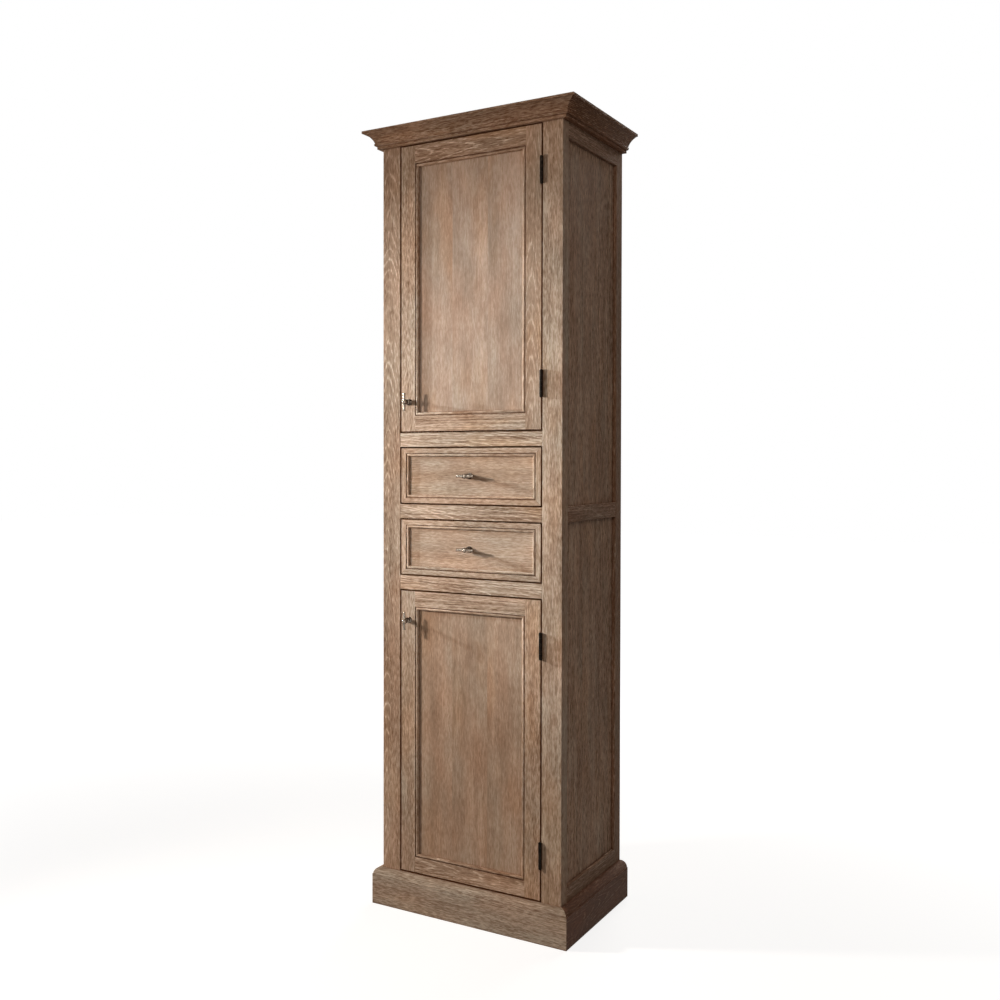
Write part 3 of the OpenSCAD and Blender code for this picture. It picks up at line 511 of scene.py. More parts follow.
# node: (axes, seed, look)
BOARDS = {
    # Painted light and shade: the left post's tone is lowered and the right post's raised, against
    # how the lamps fall off across the front
    "front_post_left": (UP, 1, {
        "heart": (-0.012, 0.036, 0), "lean": (0.004, 0.045, 0), "wander": 0.014, "ring": 0.0020,
        "figure": 0.34, "fleck": 1.15, "tone": -0.06, "warmth": 0.6}),
    "front_post_right": (UP, 2, {"figure": 0.22, "tone": 0.04, "patch": 0.5, "warmth": 0.35}),
    "back_post_left": (SIDE_UP, 3, {"tone": -0.12}),
    # Painted shade: darker tone and brown on the right side's back post
    "back_post_right": (SIDE_UP, 4, {"figure": 0.3, "tone": -0.20, "brown": SHADED_SIDE_BROWN}),
    "bottom_front_rail": (LEVEL, 5, {}),
    "drawer_rails": (LEVEL, 6, {
        "boards": 0.1825, "heart": (0.03, 0.05, 0), "lean": (0.02, 0.05, 0), "wander": 0.014,
        "figure": 0.5, "fleck": 1.1, "streak": 1.9, "tone": 0.05, "warmth": 0.5, "amber": 0.5}),
    "top_front_rail": (LEVEL, 7, {}),
    "side_rails_left": (SIDE_LEVEL, 8, {"tone": -0.10, "streak": 1.3}),
    # Painted shade: darker tone and brown on the right side's rails
    "side_rails_right": (SIDE_LEVEL, 9, {"tone": -0.20, "streak": 1.6, "brown": SHADED_SIDE_BROWN}),
    "side_panels_left": (SIDE_UP, 10, SIDE_PANEL),
    "side_panels_right": (SIDE_UP, 11, SIDE_PANEL),
    "back_panel": (UP, 12, PLYWOOD),
    "back_rails": (LEVEL, 13, INNER),
    "floor_board": (SHELF, 14, INNER_BOARDS),
    "drawer_bay_floor": (SHELF, 15, INNER_BOARDS),
    "upper_floor_board": (SHELF, 16, INNER_BOARDS),
    "top_board": (SHELF, 17, {"boards": 0.1}),
    "plinth_front": (LEVEL, 18, {
        "streak": 1.0, "figure": 0.5, "warmth": 0.4, "brown": (0.460, 0.350, 0.276, 1)}),
    "plinth_left": (SIDE_LEVEL, 19, {}),
    # Painted shade: the plinth's right side is given a much darker tone and colours
    "plinth_right": (SIDE_LEVEL, 20, {
        "heart": (0, 0.05, 0), "lean": (0.01, 0.04, 0), "tone": -0.38,
        "deep": (0.130, 0.066, 0.042, 1), "brown": (0.31, 0.190, 0.140, 1)}),
    # Painted shade: the cornice's front is given a darker tone, as light falls off at the top
    "cornice_front": (LEVEL, 21, {
        "tone": -0.22, "streak": 0.9, "figure": 0.5, "warmth": 0.8, "amber": 0.6}),
    "cornice_left": (SIDE_LEVEL, 22, {"tone": -0.14}),
    # Painted shade: the cornice's right side is given a much darker tone and colours
    "cornice_right": (SIDE_LEVEL, 23, {
        "heart": (0.01, 0.04, 0), "lean": (0.01, 0.04, 0), "figure": 0.5, "tone": -0.36,
        "warmth": 0.9, "patch": 0.3,
        "deep": (0.150, 0.074, 0.038, 1), "brown": (0.40, 0.240, 0.158, 1)}),
    "drawer_runners": (SIDE_LEVEL, 24, INNER),
    "upper_shelf_high": (SHELF, 25, INNER_BOARDS),
    "upper_shelf_low": (SHELF, 26, INNER_BOARDS),
    "lower_shelf": (SHELF, 27, INNER_BOARDS),
    "board_cleats": (SIDE_LEVEL, 28, INNER),
    "upper_door_hinge_stile": (UP, 29, {
        "heart": (0.0, 0.04, 0), "lean": (0.003, 0.045, 0), "figure": 0.25, "ring": 0.0028,
        "fleck": 0.95, "warmth": 0.5, "amber": 0.8}),
    "upper_door_lock_stile": (UP, 30, {"figure": 0.25, "fleck": 1.6}),
    "upper_door_top_rail": (LEVEL, 31, {
        "heart": (0.0, 0.04, 0), "lean": (0.01, 0.04, 0), "figure": 0.42, "streak": 1.1,
        "tone": -0.04, "warmth": 0.8, "amber": 0.6}),
    "upper_door_bottom_rail": (LEVEL, 32, {
        "streak": 1.8, "figure": 0.5, "fleck": 1.1, "tone": 0.02, "amber": 1.0}),
    "upper_door_panel": (UP, 33, {
        **DOOR_PANEL, "fleck": 0.55, "tone": 0.05, "warmth": 0.4, "amber": 0.4,
        "brown": (0.475, 0.340, 0.265, 1), "cream": (0.80, 0.672, 0.59, 1)}),
    "lower_door_hinge_stile": (UP, 34, {"warmth": 0.5, "patch": 0.5, "amber": 0.5, "tone": 0.04}),
    "lower_door_lock_stile": (UP, 35, {"warmth": 0.4, "brown": (0.467, 0.345, 0.265, 1)}),
    "lower_door_top_rail": (LEVEL, 36, {
        "figure": 0.5, "fleck": 1.1, "streak": 1.7, "warmth": 0.8, "amber": 0.9}),
    "lower_door_bottom_rail": (LEVEL, 37, {
        "heart": (0.0, 0.04, 0), "lean": (0.0, 0.04, 0), "streak": 1.0, "tone": 0.05}),
    # Painted shade: the lower panel is given a slightly darker tone, as light falls off low down
    "lower_door_panel": (UP, 38, {**DOOR_PANEL, "fleck": 0.7, "tone": -0.05}),
    "upper_drawer_front_panel": (LEVEL, 40, DRAWER_PANEL),
    "upper_drawer_box_sides": (SIDE_LEVEL, 41, INNER),
    "upper_drawer_box_ends": (LEVEL, 42, INNER),
    "upper_drawer_bottom": (SHELF, 43, PLYWOOD),
    "lower_drawer_front_panel": (LEVEL, 45, DRAWER_PANEL),
    "lower_drawer_box_sides": (SIDE_LEVEL, 46, INNER),
    "lower_drawer_box_ends": (LEVEL, 47, INNER),
    "lower_drawer_bottom": (SHELF, 48, PLYWOOD),
}
for node, ((grain, depth), seed, look) in BOARDS.items():
    oak(node, grain, depth, seed, **look)

# node: (seed, look)
MITRED = {
    "upper_drawer_front_frame": (39, {"streak": 0.9, "tone": 0.06}),
    "lower_drawer_front_frame": (44, {"streak": 0.9, "tone": 0.10}),
}
DRAWER_MEMBER = 21.7 * MM
for node, (seed, look) in MITRED.items():
    mitred_oak(node, DRAWER_MEMBER, seed, **look)


# How wide wooden and metal arrises are, how sharp an edge is that counts as one, and how close
# two points are that count as one
WOOD_ARRIS, METAL_ARRIS, ARRIS_ANGLE, SAME_POINT = 0.8 * MM, 0.25 * MM, 35.0, 0.01 * MM


def soften(node, width):
    """Rounds a piece's arrises, as sanding does."""
    weld = nodes[node].modifiers.new("weld", "WELD")
    weld.merge_threshold = SAME_POINT
    bevel = nodes[node].modifiers.new("arris", "BEVEL")
    bevel.width = width
    bevel.segments = 2
    bevel.limit_method = "ANGLE"
    bevel.angle_limit = math.radians(ARRIS_ANGLE)


for node in list(BOARDS) + list(MITRED):
    soften(node, WOOD_ARRIS)


# Metals: the scale, detail and roughness of the noise of worn patches and the part of it that
# makes one, the detail and roughness of the fine grain, half the width of the change to the lighter
# metal in front, partly rubbed by hands and partly a painted reflection, the black in corners,
# partly tarnish and partly painted shade, how far wear and dullness change the shine, and the
# relief
PATCH_NOISE, WORN_RANGE, FINE_NOISE = (130.0, 3.0, 0.6), (0.44, 0.60), (2.0, 0.6)
WEAR_AND_SHEEN_CHANGE, TARNISH_AND_SHADE_BLACK = 1.5 * MM, (0.014, 0.009, 0.006, 1)
WORN_SHINE, DULL_SHINE, METAL_BUMP, METAL_RELIEF = 0.4, 0.2, 0.25, 0.08 * MM


def make_metal(name, worn, dull, rough, reach=1.5 * MM, grain=700.0, tarnish_and_shade=0.7, uneven=0.18,
               wear_and_sheen_from=None):
    """A worn metal: two colours in soft patches, black in its corners (partly tarnish, partly
    painted
    shade), with an uneven shine. Past the depth it is given, in front of the doors, it is lighter:
    partly rubbed clean by hands, partly a painted reflection."""
    made, tree, shader = new_material(name, Metallic=1.0)
    place = object_place(tree)
    patch = ranged(tree, noise(tree, place, *PATCH_NOISE), *WORN_RANGE)
    # The lighter metal in front: partly hand wear, partly a painted reflection of the lamps
    if wear_and_sheen_from is not None:
        wear_and_sheen = ranged(tree, parts_of(tree, place)["Y"],
                      wear_and_sheen_from - WEAR_AND_SHEEN_CHANGE, wear_and_sheen_from + WEAR_AND_SHEEN_CHANGE, 1.0, 0.0)
        patch = number(tree, "MULTIPLY", number(tree, "ADD", patch, wear_and_sheen), 0.5)
    # Black in the corners: partly tarnish, partly painted shade
    tarnished_and_shaded = place_group(tree, PAINTED_CREASE_SHADE,
                         {"Color": blended(tree, patch, dull, worn), "Vector": place,
                          "Reach": reach, "Amount": tarnish_and_shade, "Shade Colour": TARNISH_AND_SHADE_BLACK})
    tree.links.new(tarnished_and_shaded["Color"], shader.inputs["Base Color"])
    fine = noise(tree, place, grain, *FINE_NOISE)
    shine = number(tree, "MULTIPLY_ADD", patch, -WORN_SHINE * uneven,
                   rough + DULL_SHINE * uneven)
    tree.links.new(swayed(tree, shine, fine, uneven), shader.inputs["Roughness"])
    bump = add_node(tree, "ShaderNodeBump", {"Strength": METAL_BUMP, "Distance": METAL_RELIEF,
                                             "Height": fine})
    tree.links.new(bump.outputs[0], shader.inputs["Normal"])
    return made


NICKEL = make_metal("aged_nickel", (0.40, 0.33, 0.265, 1), (0.030, 0.017, 0.011, 1), 0.26,
                    reach=5.0 * MM, tarnish_and_shade=0.95, uneven=0.10, wear_and_sheen_from=FRONT - 21.5 * MM)
IRON = make_metal("black_iron", (0.016, 0.011, 0.008, 1), (0.006, 0.0045, 0.0035, 1), 0.46,
                  grain=420.0)
STEEL = make_metal("screw_steel", (0.30, 0.285, 0.265, 1), (0.17, 0.158, 0.145, 1), 0.42)

METAL_OF = {"handle": NICKEL, "hinge": IRON, "strike": STEEL, "catches": STEEL}
for node in nodes:
    if node not in BOARDS and node not in MITRED:
        give_look(node, next(metal for word, metal in METAL_OF.items() if word in node))
        soften(node, METAL_ARRIS)


# Turned and cut pieces of metal. Profiles are (radius, height) points in mm.

DIRECTIONS = {
    "+X": (Vector((1, 0, 0)), (0, math.pi / 2, 0)),
    "-X": (Vector((-1, 0, 0)), (0, -math.pi / 2, 0)),
    "+Y": (Vector((0, 1, 0)), (-math.pi / 2, 0, 0)),
    "-Y": (Vector((0, -1, 0)), (math.pi / 2, 0, 0)),
    "+Z": (Vector((0, 0, 1)), (0, 0, 0)),
}

# Below these angles turned and flat pieces are shaded smooth; doubles lie nearer than this
SMOOTH_ANGLE, FLAT_ANGLE, DOUBLES = 40.0, 35.0, 0.005 * MM

# How far an edge points along an axis that counts as running along it
ALONG_AXIS = 0.99


def at(x, y, z):
    """A place given in millimetres."""
    return Vector((x, y, z)) * MM


def pick(*pieces):
    """Selects these pieces and nothing else, and makes the first the one that is worked on."""
    if bpy.context.object and bpy.context.object.mode != "OBJECT":
        bpy.ops.object.mode_set(mode="OBJECT")
    bpy.ops.object.select_all(action="DESELECT")
    for piece in pieces:
        piece.select_set(True)
    if pieces:
        bpy.context.view_layer.objects.active = pieces[0]


def edit_all():
    """Starts editing the mesh of the piece that is worked on, all of it selected."""
    bpy.ops.object.mode_set(mode="EDIT")
    bpy.ops.mesh.select_all(action="SELECT")


def end_piece(name, material, angle):
    """Closes a piece: doubles merged, faces out, shaded smooth, its place in its mesh."""
    edit_all()
    bpy.ops.mesh.remove_doubles(threshold=DOUBLES)
    bpy.ops.mesh.normals_make_consistent(inside=False)
    bpy.ops.object.mode_set(mode="OBJECT")
    bpy.ops.object.transform_apply(location=True, rotation=True, scale=True)
    bpy.ops.object.shade_smooth_by_angle(angle=math.radians(angle))
    made = bpy.context.object
    made.name = name
    made.data.name = name
    made.data.materials.clear()
    made.data.materials.append(material)
    return made


def arc(radius_at, height_at, size, start, stop, steps=6):
    """Points of a round on a profile: its centre's radius and height, size and two angles."""
    angles = [math.radians(start + (stop - start) * i / steps) for i in range(steps + 1)]
    return [(radius_at + size * math.cos(t), height_at + size * math.sin(t)) for t in angles]


def turn_piece(origin, direction, profile, sides=48, hollow=False):
    """A turned piece, drawn out ring by ring along a direction by its profile."""
    along, rotation = DIRECTIONS[direction]
    pick()
    first_radius, first_height = profile[0]
    spot = Vector(origin) + along * first_height * MM
    bpy.ops.mesh.primitive_circle_add(vertices=sides, radius=first_radius * MM, location=spot,
                                      rotation=rotation, fill_type="NOTHING" if hollow else "NGON")
    edit_all()
    for (radius, height), (next_radius, next_height) in zip(profile, profile[1:]):
        step = along * (next_height - height) * MM
        spot = spot + step
        bpy.ops.mesh.extrude_region_move(TRANSFORM_OT_translate={"value": step})
        grow = next_radius / radius
        bpy.ops.transform.resize(value=(grow, grow, grow), center_override=spot)
    bpy.ops.object.mode_set(mode="OBJECT")
    return bpy.context.object


def block_piece(low, high, bevel=0.0):
    """A block between two corners, its arrises rounded if it has a bevel."""
    pick()
    low, high = Vector(low), Vector(high)
    bpy.ops.mesh.primitive_cube_add(size=1.0, location=(low + high) / 2)
    edit_all()
    bpy.ops.transform.resize(value=high - low, center_override=(low + high) / 2)
    if bevel:
        bpy.ops.mesh.bevel(offset=bevel, segments=2, affect="EDGES")
    bpy.ops.object.mode_set(mode="OBJECT")
    return bpy.context.object


def cut_away(piece, cutters):
    """Takes the shapes of the cutters out of a piece."""
    for cutter in cutters:
        pick(piece)
        cut = piece.modifiers.new("cut", "BOOLEAN")
        cut.operation = "DIFFERENCE"
        cut.object = cutter
        bpy.ops.object.modifier_apply(modifier=cut.name)
        bpy.data.objects.remove(cutter)


def join_pieces(parts):
    """Makes one object of several."""
    pick(*parts)
    if len(parts) > 1:
        bpy.ops.object.join()
    return bpy.context.object


def copies_of(piece, offsets):
    """Copies of a piece, each with its own mesh, moved by the offsets."""
    made = []
    for offset in offsets:
        pick(piece)
        bpy.ops.object.duplicate(linked=False)
        bpy.context.object.location += Vector(offset)
        bpy.ops.object.transform_apply(location=True, rotation=False, scale=False)
        made.append(bpy.context.object)
    bpy.data.objects.remove(piece)
    return made


def at_heights(piece, mid, middles):
    """A piece that was made at one height, copied to every height and joined."""
    return join_pieces(copies_of(piece, [(0.0, 0.0, (other - mid) * MM) for other in middles]))


def round_corners(piece, axis, size, chosen=lambda middle: True):
    """Rounds a piece's edges that run along an axis, where the edge's middle is a chosen one."""
    pick(piece)
    bpy.ops.object.mode_set(mode="EDIT")
    bpy.ops.mesh.select_mode(type="EDGE")
    bpy.ops.mesh.select_all(action="DESELECT")
    bpy.ops.object.mode_set(mode="OBJECT")
    points = [piece.matrix_world @ v.co for v in piece.data.vertices]
    for edge in piece.data.edges:
        a, b = (points[i] for i in edge.vertices)
        edge.select = abs((b - a).normalized()[axis]) > ALONG_AXIS and chosen((a + b) / 2)
    bpy.ops.object.mode_set(mode="EDIT")
    bpy.ops.mesh.bevel(offset=size, segments=4, affect="EDGES")
    bpy.ops.mesh.select_mode(type="VERT")
    bpy.ops.object.mode_set(mode="OBJECT")


def stand_for(piece, node):
    """Puts a piece in the place of a node, on the node's body, and hides the node."""
    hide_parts(node)
    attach(piece, body_of(nodes[node])[0])


# A screw's head as parts of its radius and height, and the slot as parts of them too
DOMED_HEAD = [(1.0, 0.0), (1.0, 0.25), (0.93, 0.6), (0.7, 0.88), (0.4, 1.0)]
SUNK_HEAD = [(0.55, 0.0), (1.0, 0.92), (1.0, 1.0)]
SLOT_LONG, SLOT_WIDE, SLOT_DEEP = 1.2, 0.14, 0.6


def slotted_head(origin, direction, radius, height, domed=True):
    """A screw's head with a slot across it. The origin is the middle of its seat."""
    along = DIRECTIONS[direction][0]
    profile = [(r * radius, h * height) for r, h in (DOMED_HEAD if domed else SUNK_HEAD)]
    head = turn_piece(origin, direction, profile, sides=32)
    top = Vector(origin) + along * height * MM
    down = Vector([SLOT_DEEP * height * MM if abs(v) > 0.5 else 0.0 for v in along])
    across = Vector((0.0, 0.0, 1.0))
    aside = Vector([abs(v) for v in along.cross(across)])
    reach = across * radius * SLOT_LONG * MM + aside * radius * SLOT_WIDE * MM + down
    cut_away(head, [block_piece(top - reach, top + reach)])
    return head


# Handles: a turned rose and stem that carry a turned bar, and a screw behind

HANDLE_REACH, BAR_RADIUS = 27.0, 6.5
STEM = (
    [(6.6, 0.0)] + arc(7.0, 1.0, 1.0, -60, 90) + [(6.5, 1.75), (6.1, 2.0)]
    + [(r, h) for r, h in arc(7.4, 5.3, 3.2, 270, 180, 8)][1:]
    + [(4.2, 8.0)] + arc(4.4, 11.2, 2.3, -70, 70, 8) + [(4.2, 14.4), (4.0, 17.2)]
    + arc(4.4, 18.6, 1.2, -75, 75) + [(4.0, 20.0), (4.0, 23.5)]
)
HALF_BAR = (
    arc(2.0, 0.0, 4.5, 0, 72, 7) + [(3.4, 5.0), (3.4, 5.45)] + arc(3.8, 6.4, 0.9, -85, 85)
    + [(3.4, 7.4), (3.4, 10.0), (3.2, 15.0), (3.1, 19.4), (3.1, 19.9)]
    + arc(2.5, 21.4, 1.6, -70, 68) + [(1.6, 23.0)]
)
BAR = [(r, -h) for r, h in reversed(HALF_BAR[1:])] + HALF_BAR
SHANK_RADIUS, SHANK_FROM = 2.0, -0.5
HEAD_RADIUS, HEAD_HEIGHT = 4.5, 2.0


def bar_handle(node, base, bar_direction, grip):
    """The handle that stands for a node. The grip is the thickness that its screw goes through."""
    stem = turn_piece(base, "-Y", STEM)
    bar = turn_piece(Vector(base) + at(0, -HANDLE_REACH, 0), bar_direction, BAR)
    shank = turn_piece(base, "+Y", [(SHANK_RADIUS, SHANK_FROM), (SHANK_RADIUS, grip)], sides=24)
    head = slotted_head(Vector(base) + at(0, grip, 0), "+Y", HEAD_RADIUS, HEAD_HEIGHT)
    join_pieces([stem, bar, shank, head])
    stand_for(end_piece(node + "_turned", NICKEL, SMOOTH_ANGLE), node)


for node, bar_direction in (("upper_door_handle", "+Z"), ("lower_door_handle", "+Z"),
                            ("upper_drawer_handle", "+X"), ("lower_drawer_handle", "+X")):
    low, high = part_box(node)
    base_depth = low.y + (HANDLE_REACH + BAR_RADIUS) * MM
    base = Vector(((low.x + high.x) / 2, base_depth, (low.z + high.z) / 2))
    bar_handle(node, base, bar_direction, (high.y - base.y) / MM - HEAD_HEIGHT)


# Hinges: two leaves with rounded corners and countersunk screws, closed round a pin

HINGE_X, HINGE_Y, HINGE_LENGTH = 189.75, -189.7, 63.5
HINGES_OF = {"lower_door": (206.5, 709.5), "upper_door": (1336.5, 1842.5)}
LEAF_THICK, LEAF_NEAR, LEAF_FAR, LEAF_CORNER, LEAF_GAP = 1.2, 4.2, 24.2, 3.0, 0.05
KNUCKLES, KNUCKLE_GAP = 5, 0.2
KNUCKLE = (HINGE_LENGTH - (KNUCKLES - 1) * KNUCKLE_GAP) / KNUCKLES
KNUCKLE_RING = [(4.0, 0.35), (4.0, KNUCKLE - 0.35), (3.65, KNUCKLE), (1.65, KNUCKLE),
                (1.65, 0.0), (3.65, 0.0), (4.0, 0.35)]
HALF_PIN = [(1.6, 31.85), (3.3, 31.85), (3.3, 32.05), (3.1, 32.7), (2.2, 33.3), (0.8, 33.6)]

# The webs that join knuckles to their leaf: how far from the pin they begin, how far they lap
# over the leaf, and how much shorter than the knuckle they are at each end
WEB_NEAR, WEB_LAP, WEB_INSET = 1.7, 1.0, 0.2

# A leaf's screws, from the pin and from the hinge's middle, with their heads and holes
LEAF_SCREWS = ((11.0, -22.0), (17.5, 0.0), (11.0, 22.0))
LEAF_HEAD = (2.95, 1.1)
LEAF_HOLE = [(1.9, 0.0), (1.9, 0.4), (3.6, 1.7)]

# How far past a plate the cutter for a screw's hole begins
HOLE_START = 0.2


def hinge_leaf(mid, side):
    """A leaf with its knuckles and screws. side is 1 for the post's leaf, -1 for the door's."""
    low = mid - HINGE_LENGTH / 2
    far = HINGE_Y + LEAF_FAR
    face = HINGE_X + side * LEAF_GAP
    seat = face + side * LEAF_THICK
    left, right = min(face, seat), max(face, seat)
    outwards = "-X" if side > 0 else "+X"
    plate = block_piece(at(left, HINGE_Y + LEAF_NEAR, low), at(right, far, low + HINGE_LENGTH))
    round_corners(plate, 0, LEAF_CORNER * MM, lambda middle: middle.y > (far - 0.5) * MM)
    screws = [(HINGE_Y + back, mid + up) for back, up in LEAF_SCREWS]
    cut_away(plate, [turn_piece(at(seat + side * HOLE_START, y, z), outwards, LEAF_HOLE, sides=32)
                     for y, z in screws])
    parts = [plate]
    parts += [slotted_head(at(seat, y, z), outwards, *LEAF_HEAD, domed=False) for y, z in screws]
    for index in range(0 if side > 0 else 1, KNUCKLES, 2):
        z = low + index * (KNUCKLE + KNUCKLE_GAP)
        parts.append(turn_piece(at(HINGE_X, HINGE_Y, z), "+Z", KNUCKLE_RING, sides=40, hollow=True))
        parts.append(block_piece(
            at(left, HINGE_Y + WEB_NEAR, z + WEB_INSET),
            at(right, HINGE_Y + LEAF_NEAR + WEB_LAP, z + KNUCKLE - WEB_INSET)))
    return join_pieces(parts)


every_hinge = HINGES_OF["lower_door"] + HINGES_OF["upper_door"]
first_mid = every_hinge[0]
at_heights(hinge_leaf(first_mid, 1), first_mid, every_hinge)
stand_for(end_piece("hinge_post_leaves_cut", IRON, SMOOTH_ANGLE),
          "hinge_post_leaves")
for door, middles in HINGES_OF.items():
    at_heights(hinge_leaf(middles[0], -1), middles[0], middles)
    stand_for(end_piece(door + "_hinge_leaves_cut", IRON, SMOOTH_ANGLE),
              door + "_hinge_leaves")

whole_pin = [(r, -h) for r, h in reversed(HALF_PIN)] + HALF_PIN
pin = turn_piece(at(HINGE_X, HINGE_Y, first_mid), "+Z", whole_pin, sides=32)
at_heights(pin, first_mid, every_hinge)
stand_for(end_piece("hinge_pins_turned", IRON, SMOOTH_ANGLE), "hinge_pins")


# Catches and strike plates

CATCH_OF = {"lower_door": 684.5, "upper_door": 1361.5}

# A catch's base, case and pole plates: half the height, then width, depth, how far back each
# begins, and how its edges are rounded
BASE_HALF, BASE_THICK, BASE_SET, BASE_CORNER = 20.0, 2.0, 2.0, 2.5
CASE_HALF, CASE_WIDE, CASE_SET, CASE_ARRIS = 11.0, 16.0, 1.0, 0.8
POLE_HALF, POLE_WIDE, POLE_DEEP, POLE_ARRIS = 0.8, 14.0, 6.0, 0.15
CATCH_DEEP, SCREW_SET, CATCH_HEAD = 12.0, 7.0, (2.8, 1.3)

# Where the pole plates and the screws are, from the catch's middle
POLES, CATCH_SCREWS = (-6.0, 6.0), (-15.5, 15.5)


def door_catch(mid):
    """A magnetic catch: a screwed base, the magnet's case and two pole plates."""
    left, front = -191.0, -162.2
    inner, back = left + BASE_THICK, front + CATCH_DEEP
    base = block_piece(at(left, front + BASE_SET, mid - BASE_HALF),
                       at(inner, back, mid + BASE_HALF))
    round_corners(base, 0, BASE_CORNER * MM)
    case = block_piece(at(left, front + CASE_SET, mid - CASE_HALF),
                       at(left + CASE_WIDE, back, mid + CASE_HALF), CASE_ARRIS * MM)
    poles = [block_piece(at(inner, front, mid + up - POLE_HALF),
                         at(left + POLE_WIDE, front + POLE_DEEP, mid + up + POLE_HALF),
                         POLE_ARRIS * MM) for up in POLES]
    screws = [slotted_head(at(inner, front + SCREW_SET, mid + up), "+X", *CATCH_HEAD)
              for up in CATCH_SCREWS]
    return join_pieces([base, case] + poles + screws)


STRIKE_HALF, STRIKE_THICK, STRIKE_CORNER = 20.0, 1.0, 2.0
STRIKE_SCREWS = (-14.0, 14.0)
STRIKE_HEAD = (2.5, 0.9)
STRIKE_HOLE = [(1.6, 0.0), (1.6, 0.3), (3.0, 1.5)]


def strike_plate(mid):
    """The steel plate on a door's back that a catch holds."""
    left, right, seat = -188.5, -175.0, -163.5
    middle = (left + right) / 2
    plate = block_piece(at(left, seat, mid - STRIKE_HALF),
                        at(right, seat + STRIKE_THICK, mid + STRIKE_HALF))
    round_corners(plate, 1, STRIKE_CORNER * MM)
    cut_away(plate, [turn_piece(at(middle, seat - HOLE_START, mid + up), "+Y", STRIKE_HOLE,
                                sides=32) for up in STRIKE_SCREWS])
    screws = [slotted_head(at(middle, seat, mid + up), "+Y", *STRIKE_HEAD, domed=False)
              for up in STRIKE_SCREWS]
    return join_pieces([plate] + screws)


at_heights(door_catch(CATCH_OF["lower_door"]), CATCH_OF["lower_door"], CATCH_OF.values())
stand_for(end_piece("door_catches_built", STEEL, FLAT_ANGLE), "door_catches")
for door, mid in CATCH_OF.items():
    strike_plate(mid)
    stand_for(end_piece(door + "_strike_cut", STEEL, FLAT_ANGLE), door + "_strike")


# The screws of the back: a row up each edge, and three across its foot and its head

EDGE_ROW, ROW_SCREWS, ROW_END = 4.5 * MM, 9, 40.0 * MM
FOOT_ROW, HEAD_ROW, ROW_ACROSS = 16.0 * MM, 12.0 * MM, (-130.0, 0.0, 130.0)
BACK_HEAD, HEAD_SUNK = (3.2, 0.6), 0.1 * MM

low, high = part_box("back_panel")
row_length = high.z - low.z - 2 * ROW_END
heights = [low.z + ROW_END + row_length * i / (ROW_SCREWS - 1) for i in range(ROW_SCREWS)]
spots = [(x, z) for z in heights for x in (low.x + EDGE_ROW, high.x - EDGE_ROW)]
spots += [(x * MM, z) for z in (low.z + FOOT_ROW, high.z - HEAD_ROW) for x in ROW_ACROSS]
first = slotted_head((0.0, high.y - HEAD_SUNK, 0.0), "+Y", *BACK_HEAD)
join_pieces(copies_of(first, [(x, 0.0, z) for x, z in spots]))
back_screws = end_piece("back_panel_screws", STEEL, FLAT_ANGLE)
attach(back_screws, "cabinet")


# Lamps

def aim(location, target):
    """The matrix of a lamp at a place, pointed at a target."""
    way = Vector(target) - Vector(location)
    return Matrix.Translation(location) @ way.to_track_quat("-Z", "Y").to_matrix().to_4x4()


def lamp(name, kind, location, target, energy, colour, **settings):
    """A lamp at a place, pointed at a target."""
    data = bpy.data.lights.new(name, kind)
    data.energy = energy
    data.color = colour
    for key, value in settings.items():
        setattr(data, key, value)
    made = bpy.data.objects.new(name, data)
    bpy.context.scene.collection.objects.link(made)
    made.matrix_world = aim(location, target)
    return made


def close_barn_door(lamp_object, edge, width, least):
    """Fades a lamp out to the left of an edge, over a width and down to the least strength.
    Edge and width are slopes: how far to the right light goes for each metre ahead."""
    lamp_object.data.use_nodes = True
    tree = lamp_object.data.node_tree
    part = parts_of(tree, add_node(tree, "ShaderNodeTexCoord").outputs["Normal"])
    slope = number(tree, "DIVIDE", part["X"], number(tree, "ABSOLUTE", part["Z"]))
    tree.links.new(ranged(tree, slope, edge - width, edge, least, 1.0),
                   tree.nodes["Emission"].inputs["Strength"])


lamp("key_lamp", "SPOT", (-1.55, -1.30, 1.45), (3.28, -0.19, -0.30), 142.0, (1.0, 0.90, 0.80),
     shadow_soft_size=0.11, spot_size=math.radians(113), spot_blend=1.0)
rake_lamp = lamp("rake_lamp", "SPOT", (-3.35, -0.77, 1.88), (-0.241, -0.1855, 1.273), 720.0,
                 (0.78, 0.93, 1.0), shadow_soft_size=0.05, spot_size=math.radians(22.3),
                 spot_blend=0.714)
close_barn_door(rake_lamp, edge=0.0, width=0.010, least=0.12)
lamp("glow_lamp", "SPOT", (-1.6, -2.6, 1.9), (-0.186, -0.19, 1.246), 72.0, (0.80, 0.94, 1.0),
     shadow_soft_size=0.30, spot_size=math.radians(26.9), spot_blend=1.0)
lamp("fill_lamp", "AREA", (1.6, -3.1, 2.5), (0.1, -0.1, 1.0), 23.2, (1.0, 0.83, 0.69),
     shape="DISK", size=1.6)
lamp("back_lamp", "AREA", (0.0, 2.9, 3.2), (0, 0.2, 1.2), 68.0, (1.0, 0.96, 0.92),
     shape="DISK", size=1.8)


# The room: warm and dim as light, white where it is seen

ROOM_COLOUR, ROOM_STRENGTH = (1.0, 0.90, 0.80, 1), 0.045
WHITE = (1, 1, 1, 1)

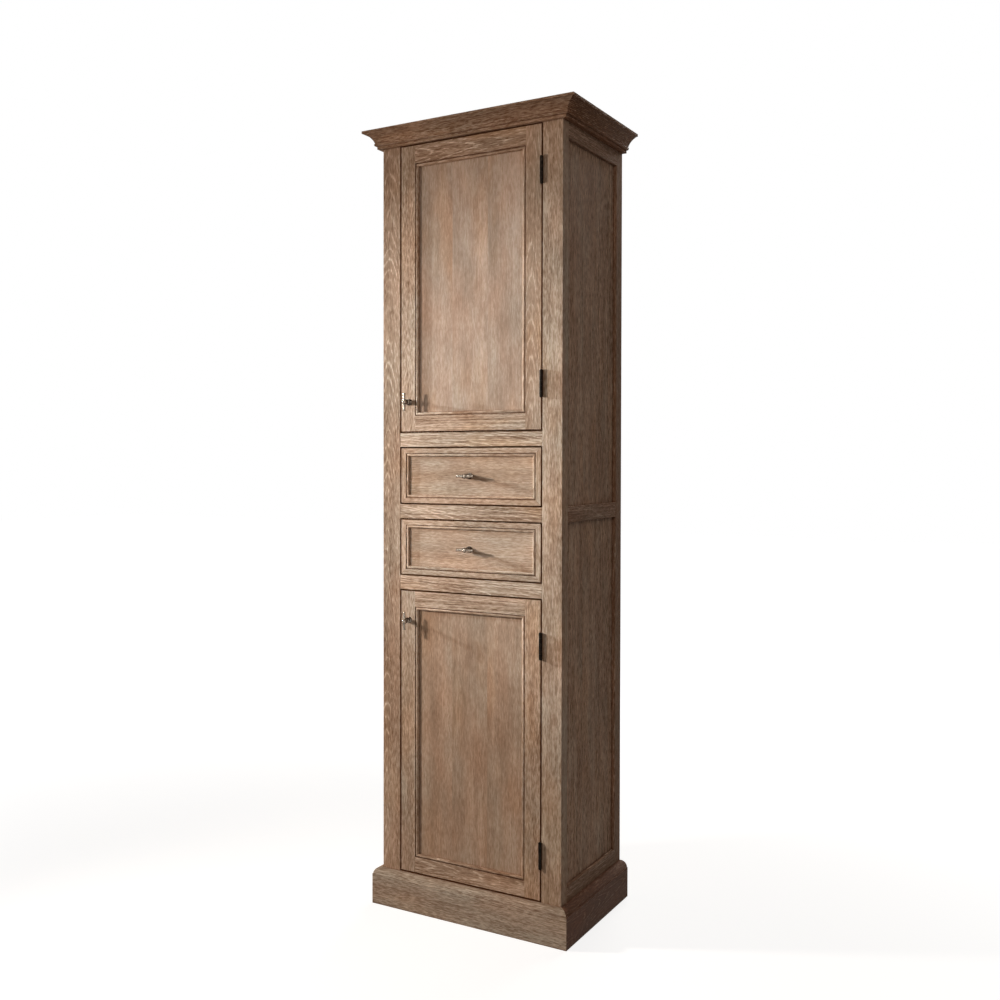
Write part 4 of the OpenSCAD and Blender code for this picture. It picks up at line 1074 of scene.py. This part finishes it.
world = bpy.data.worlds.new("studio")
world.use_nodes = True
bpy.context.scene.world = world
tree = world.node_tree
room = tree.nodes["Background"]
fill(tree, room, {"Color": ROOM_COLOUR, "Strength": ROOM_STRENGTH})
white = add_node(tree, "ShaderNodeBackground", {"Color": WHITE, "Strength": 1.0})
rays = add_node(tree, "ShaderNodeLightPath").outputs
seen = number(tree, "MAXIMUM", rays["Is Camera Ray"], rays["Is Transmission Ray"])
seen = number(tree, "MAXIMUM", seen, rays["Is Glossy Ray"])
mixed = add_node(tree, "ShaderNodeMixShader", {0: seen, 1: room.outputs[0], 2: white.outputs[0]})
tree.links.new(mixed.outputs[0], tree.nodes["World Output"].inputs["Surface"])

# The floor: paper that glows a little less close by, so that the cabinet stands in its shadow

FLOOR_SIZE = 30.0
GLOW_NEAR, GLOW_FAR, GLOW_LEAST = 0.6, 3.0, 0.80
SEEN_PAPER, UNSEEN_PAPER = (0.4, 0.4, 0.4, 1), (0.3, 0.3, 0.3, 1)

bpy.ops.object.select_all(action="DESELECT")
bpy.ops.mesh.primitive_plane_add(size=FLOOR_SIZE, location=(0, 0, 0))
floor = bpy.context.object
floor.name = "studio_floor"
floor_look, tree, shader = new_material("floor_paper")
tree.nodes.remove(shader)
rays = add_node(tree, "ShaderNodeLightPath").outputs
away = vector(tree, "LENGTH", object_place(tree))
glow = ranged(tree, away, GLOW_NEAR, GLOW_FAR, GLOW_LEAST, 1.0)
seen_glow = add_node(tree, "ShaderNodeEmission", {"Color": WHITE, "Strength": glow})
seen_paper = add_node(tree, "ShaderNodeBsdfDiffuse", {"Color": SEEN_PAPER})
seen_floor = add_node(tree, "ShaderNodeAddShader",
                      {0: seen_glow.outputs[0], 1: seen_paper.outputs[0]})
plain_floor = add_node(tree, "ShaderNodeBsdfDiffuse", {"Color": UNSEEN_PAPER})
seen = number(tree, "MAXIMUM", rays["Is Camera Ray"], rays["Is Glossy Ray"])
mixed = add_node(tree, "ShaderNodeMixShader",
                 {0: seen, 1: plain_floor.outputs[0], 2: seen_floor.outputs[0]})
tree.links.new(mixed.outputs[0], tree.nodes["Material Output"].inputs["Surface"])
floor.data.materials.append(floor_look)


# The camera, from the vanishing directions of the photograph, which was cropped off its middle

CAMERA_PLACE = (1.29501, -2.88155, 1.16393)
CAMERA_TURN, CAMERA_TILT, CAMERA_ROLL = 36.079, 88.954, -0.125

eye = bpy.data.cameras.new("photo_camera")
eye.sensor_width = 36.0
eye.lens = 42.778
eye.shift_x = 0.25
eye.shift_y = -0.0218
eye.clip_end = 100.0
camera = bpy.data.objects.new("photo_camera", eye)
bpy.context.scene.collection.objects.link(camera)
camera.matrix_world = (Matrix.Translation(CAMERA_PLACE)
                       @ Matrix.Rotation(math.radians(CAMERA_TURN), 4, "Z")
                       @ Matrix.Rotation(math.radians(CAMERA_TILT), 4, "X")
                       @ Matrix.Rotation(math.radians(CAMERA_ROLL), 4, "Z"))
bpy.context.scene.camera = camera
bpy.context.scene.view_settings.view_transform = "Standard"
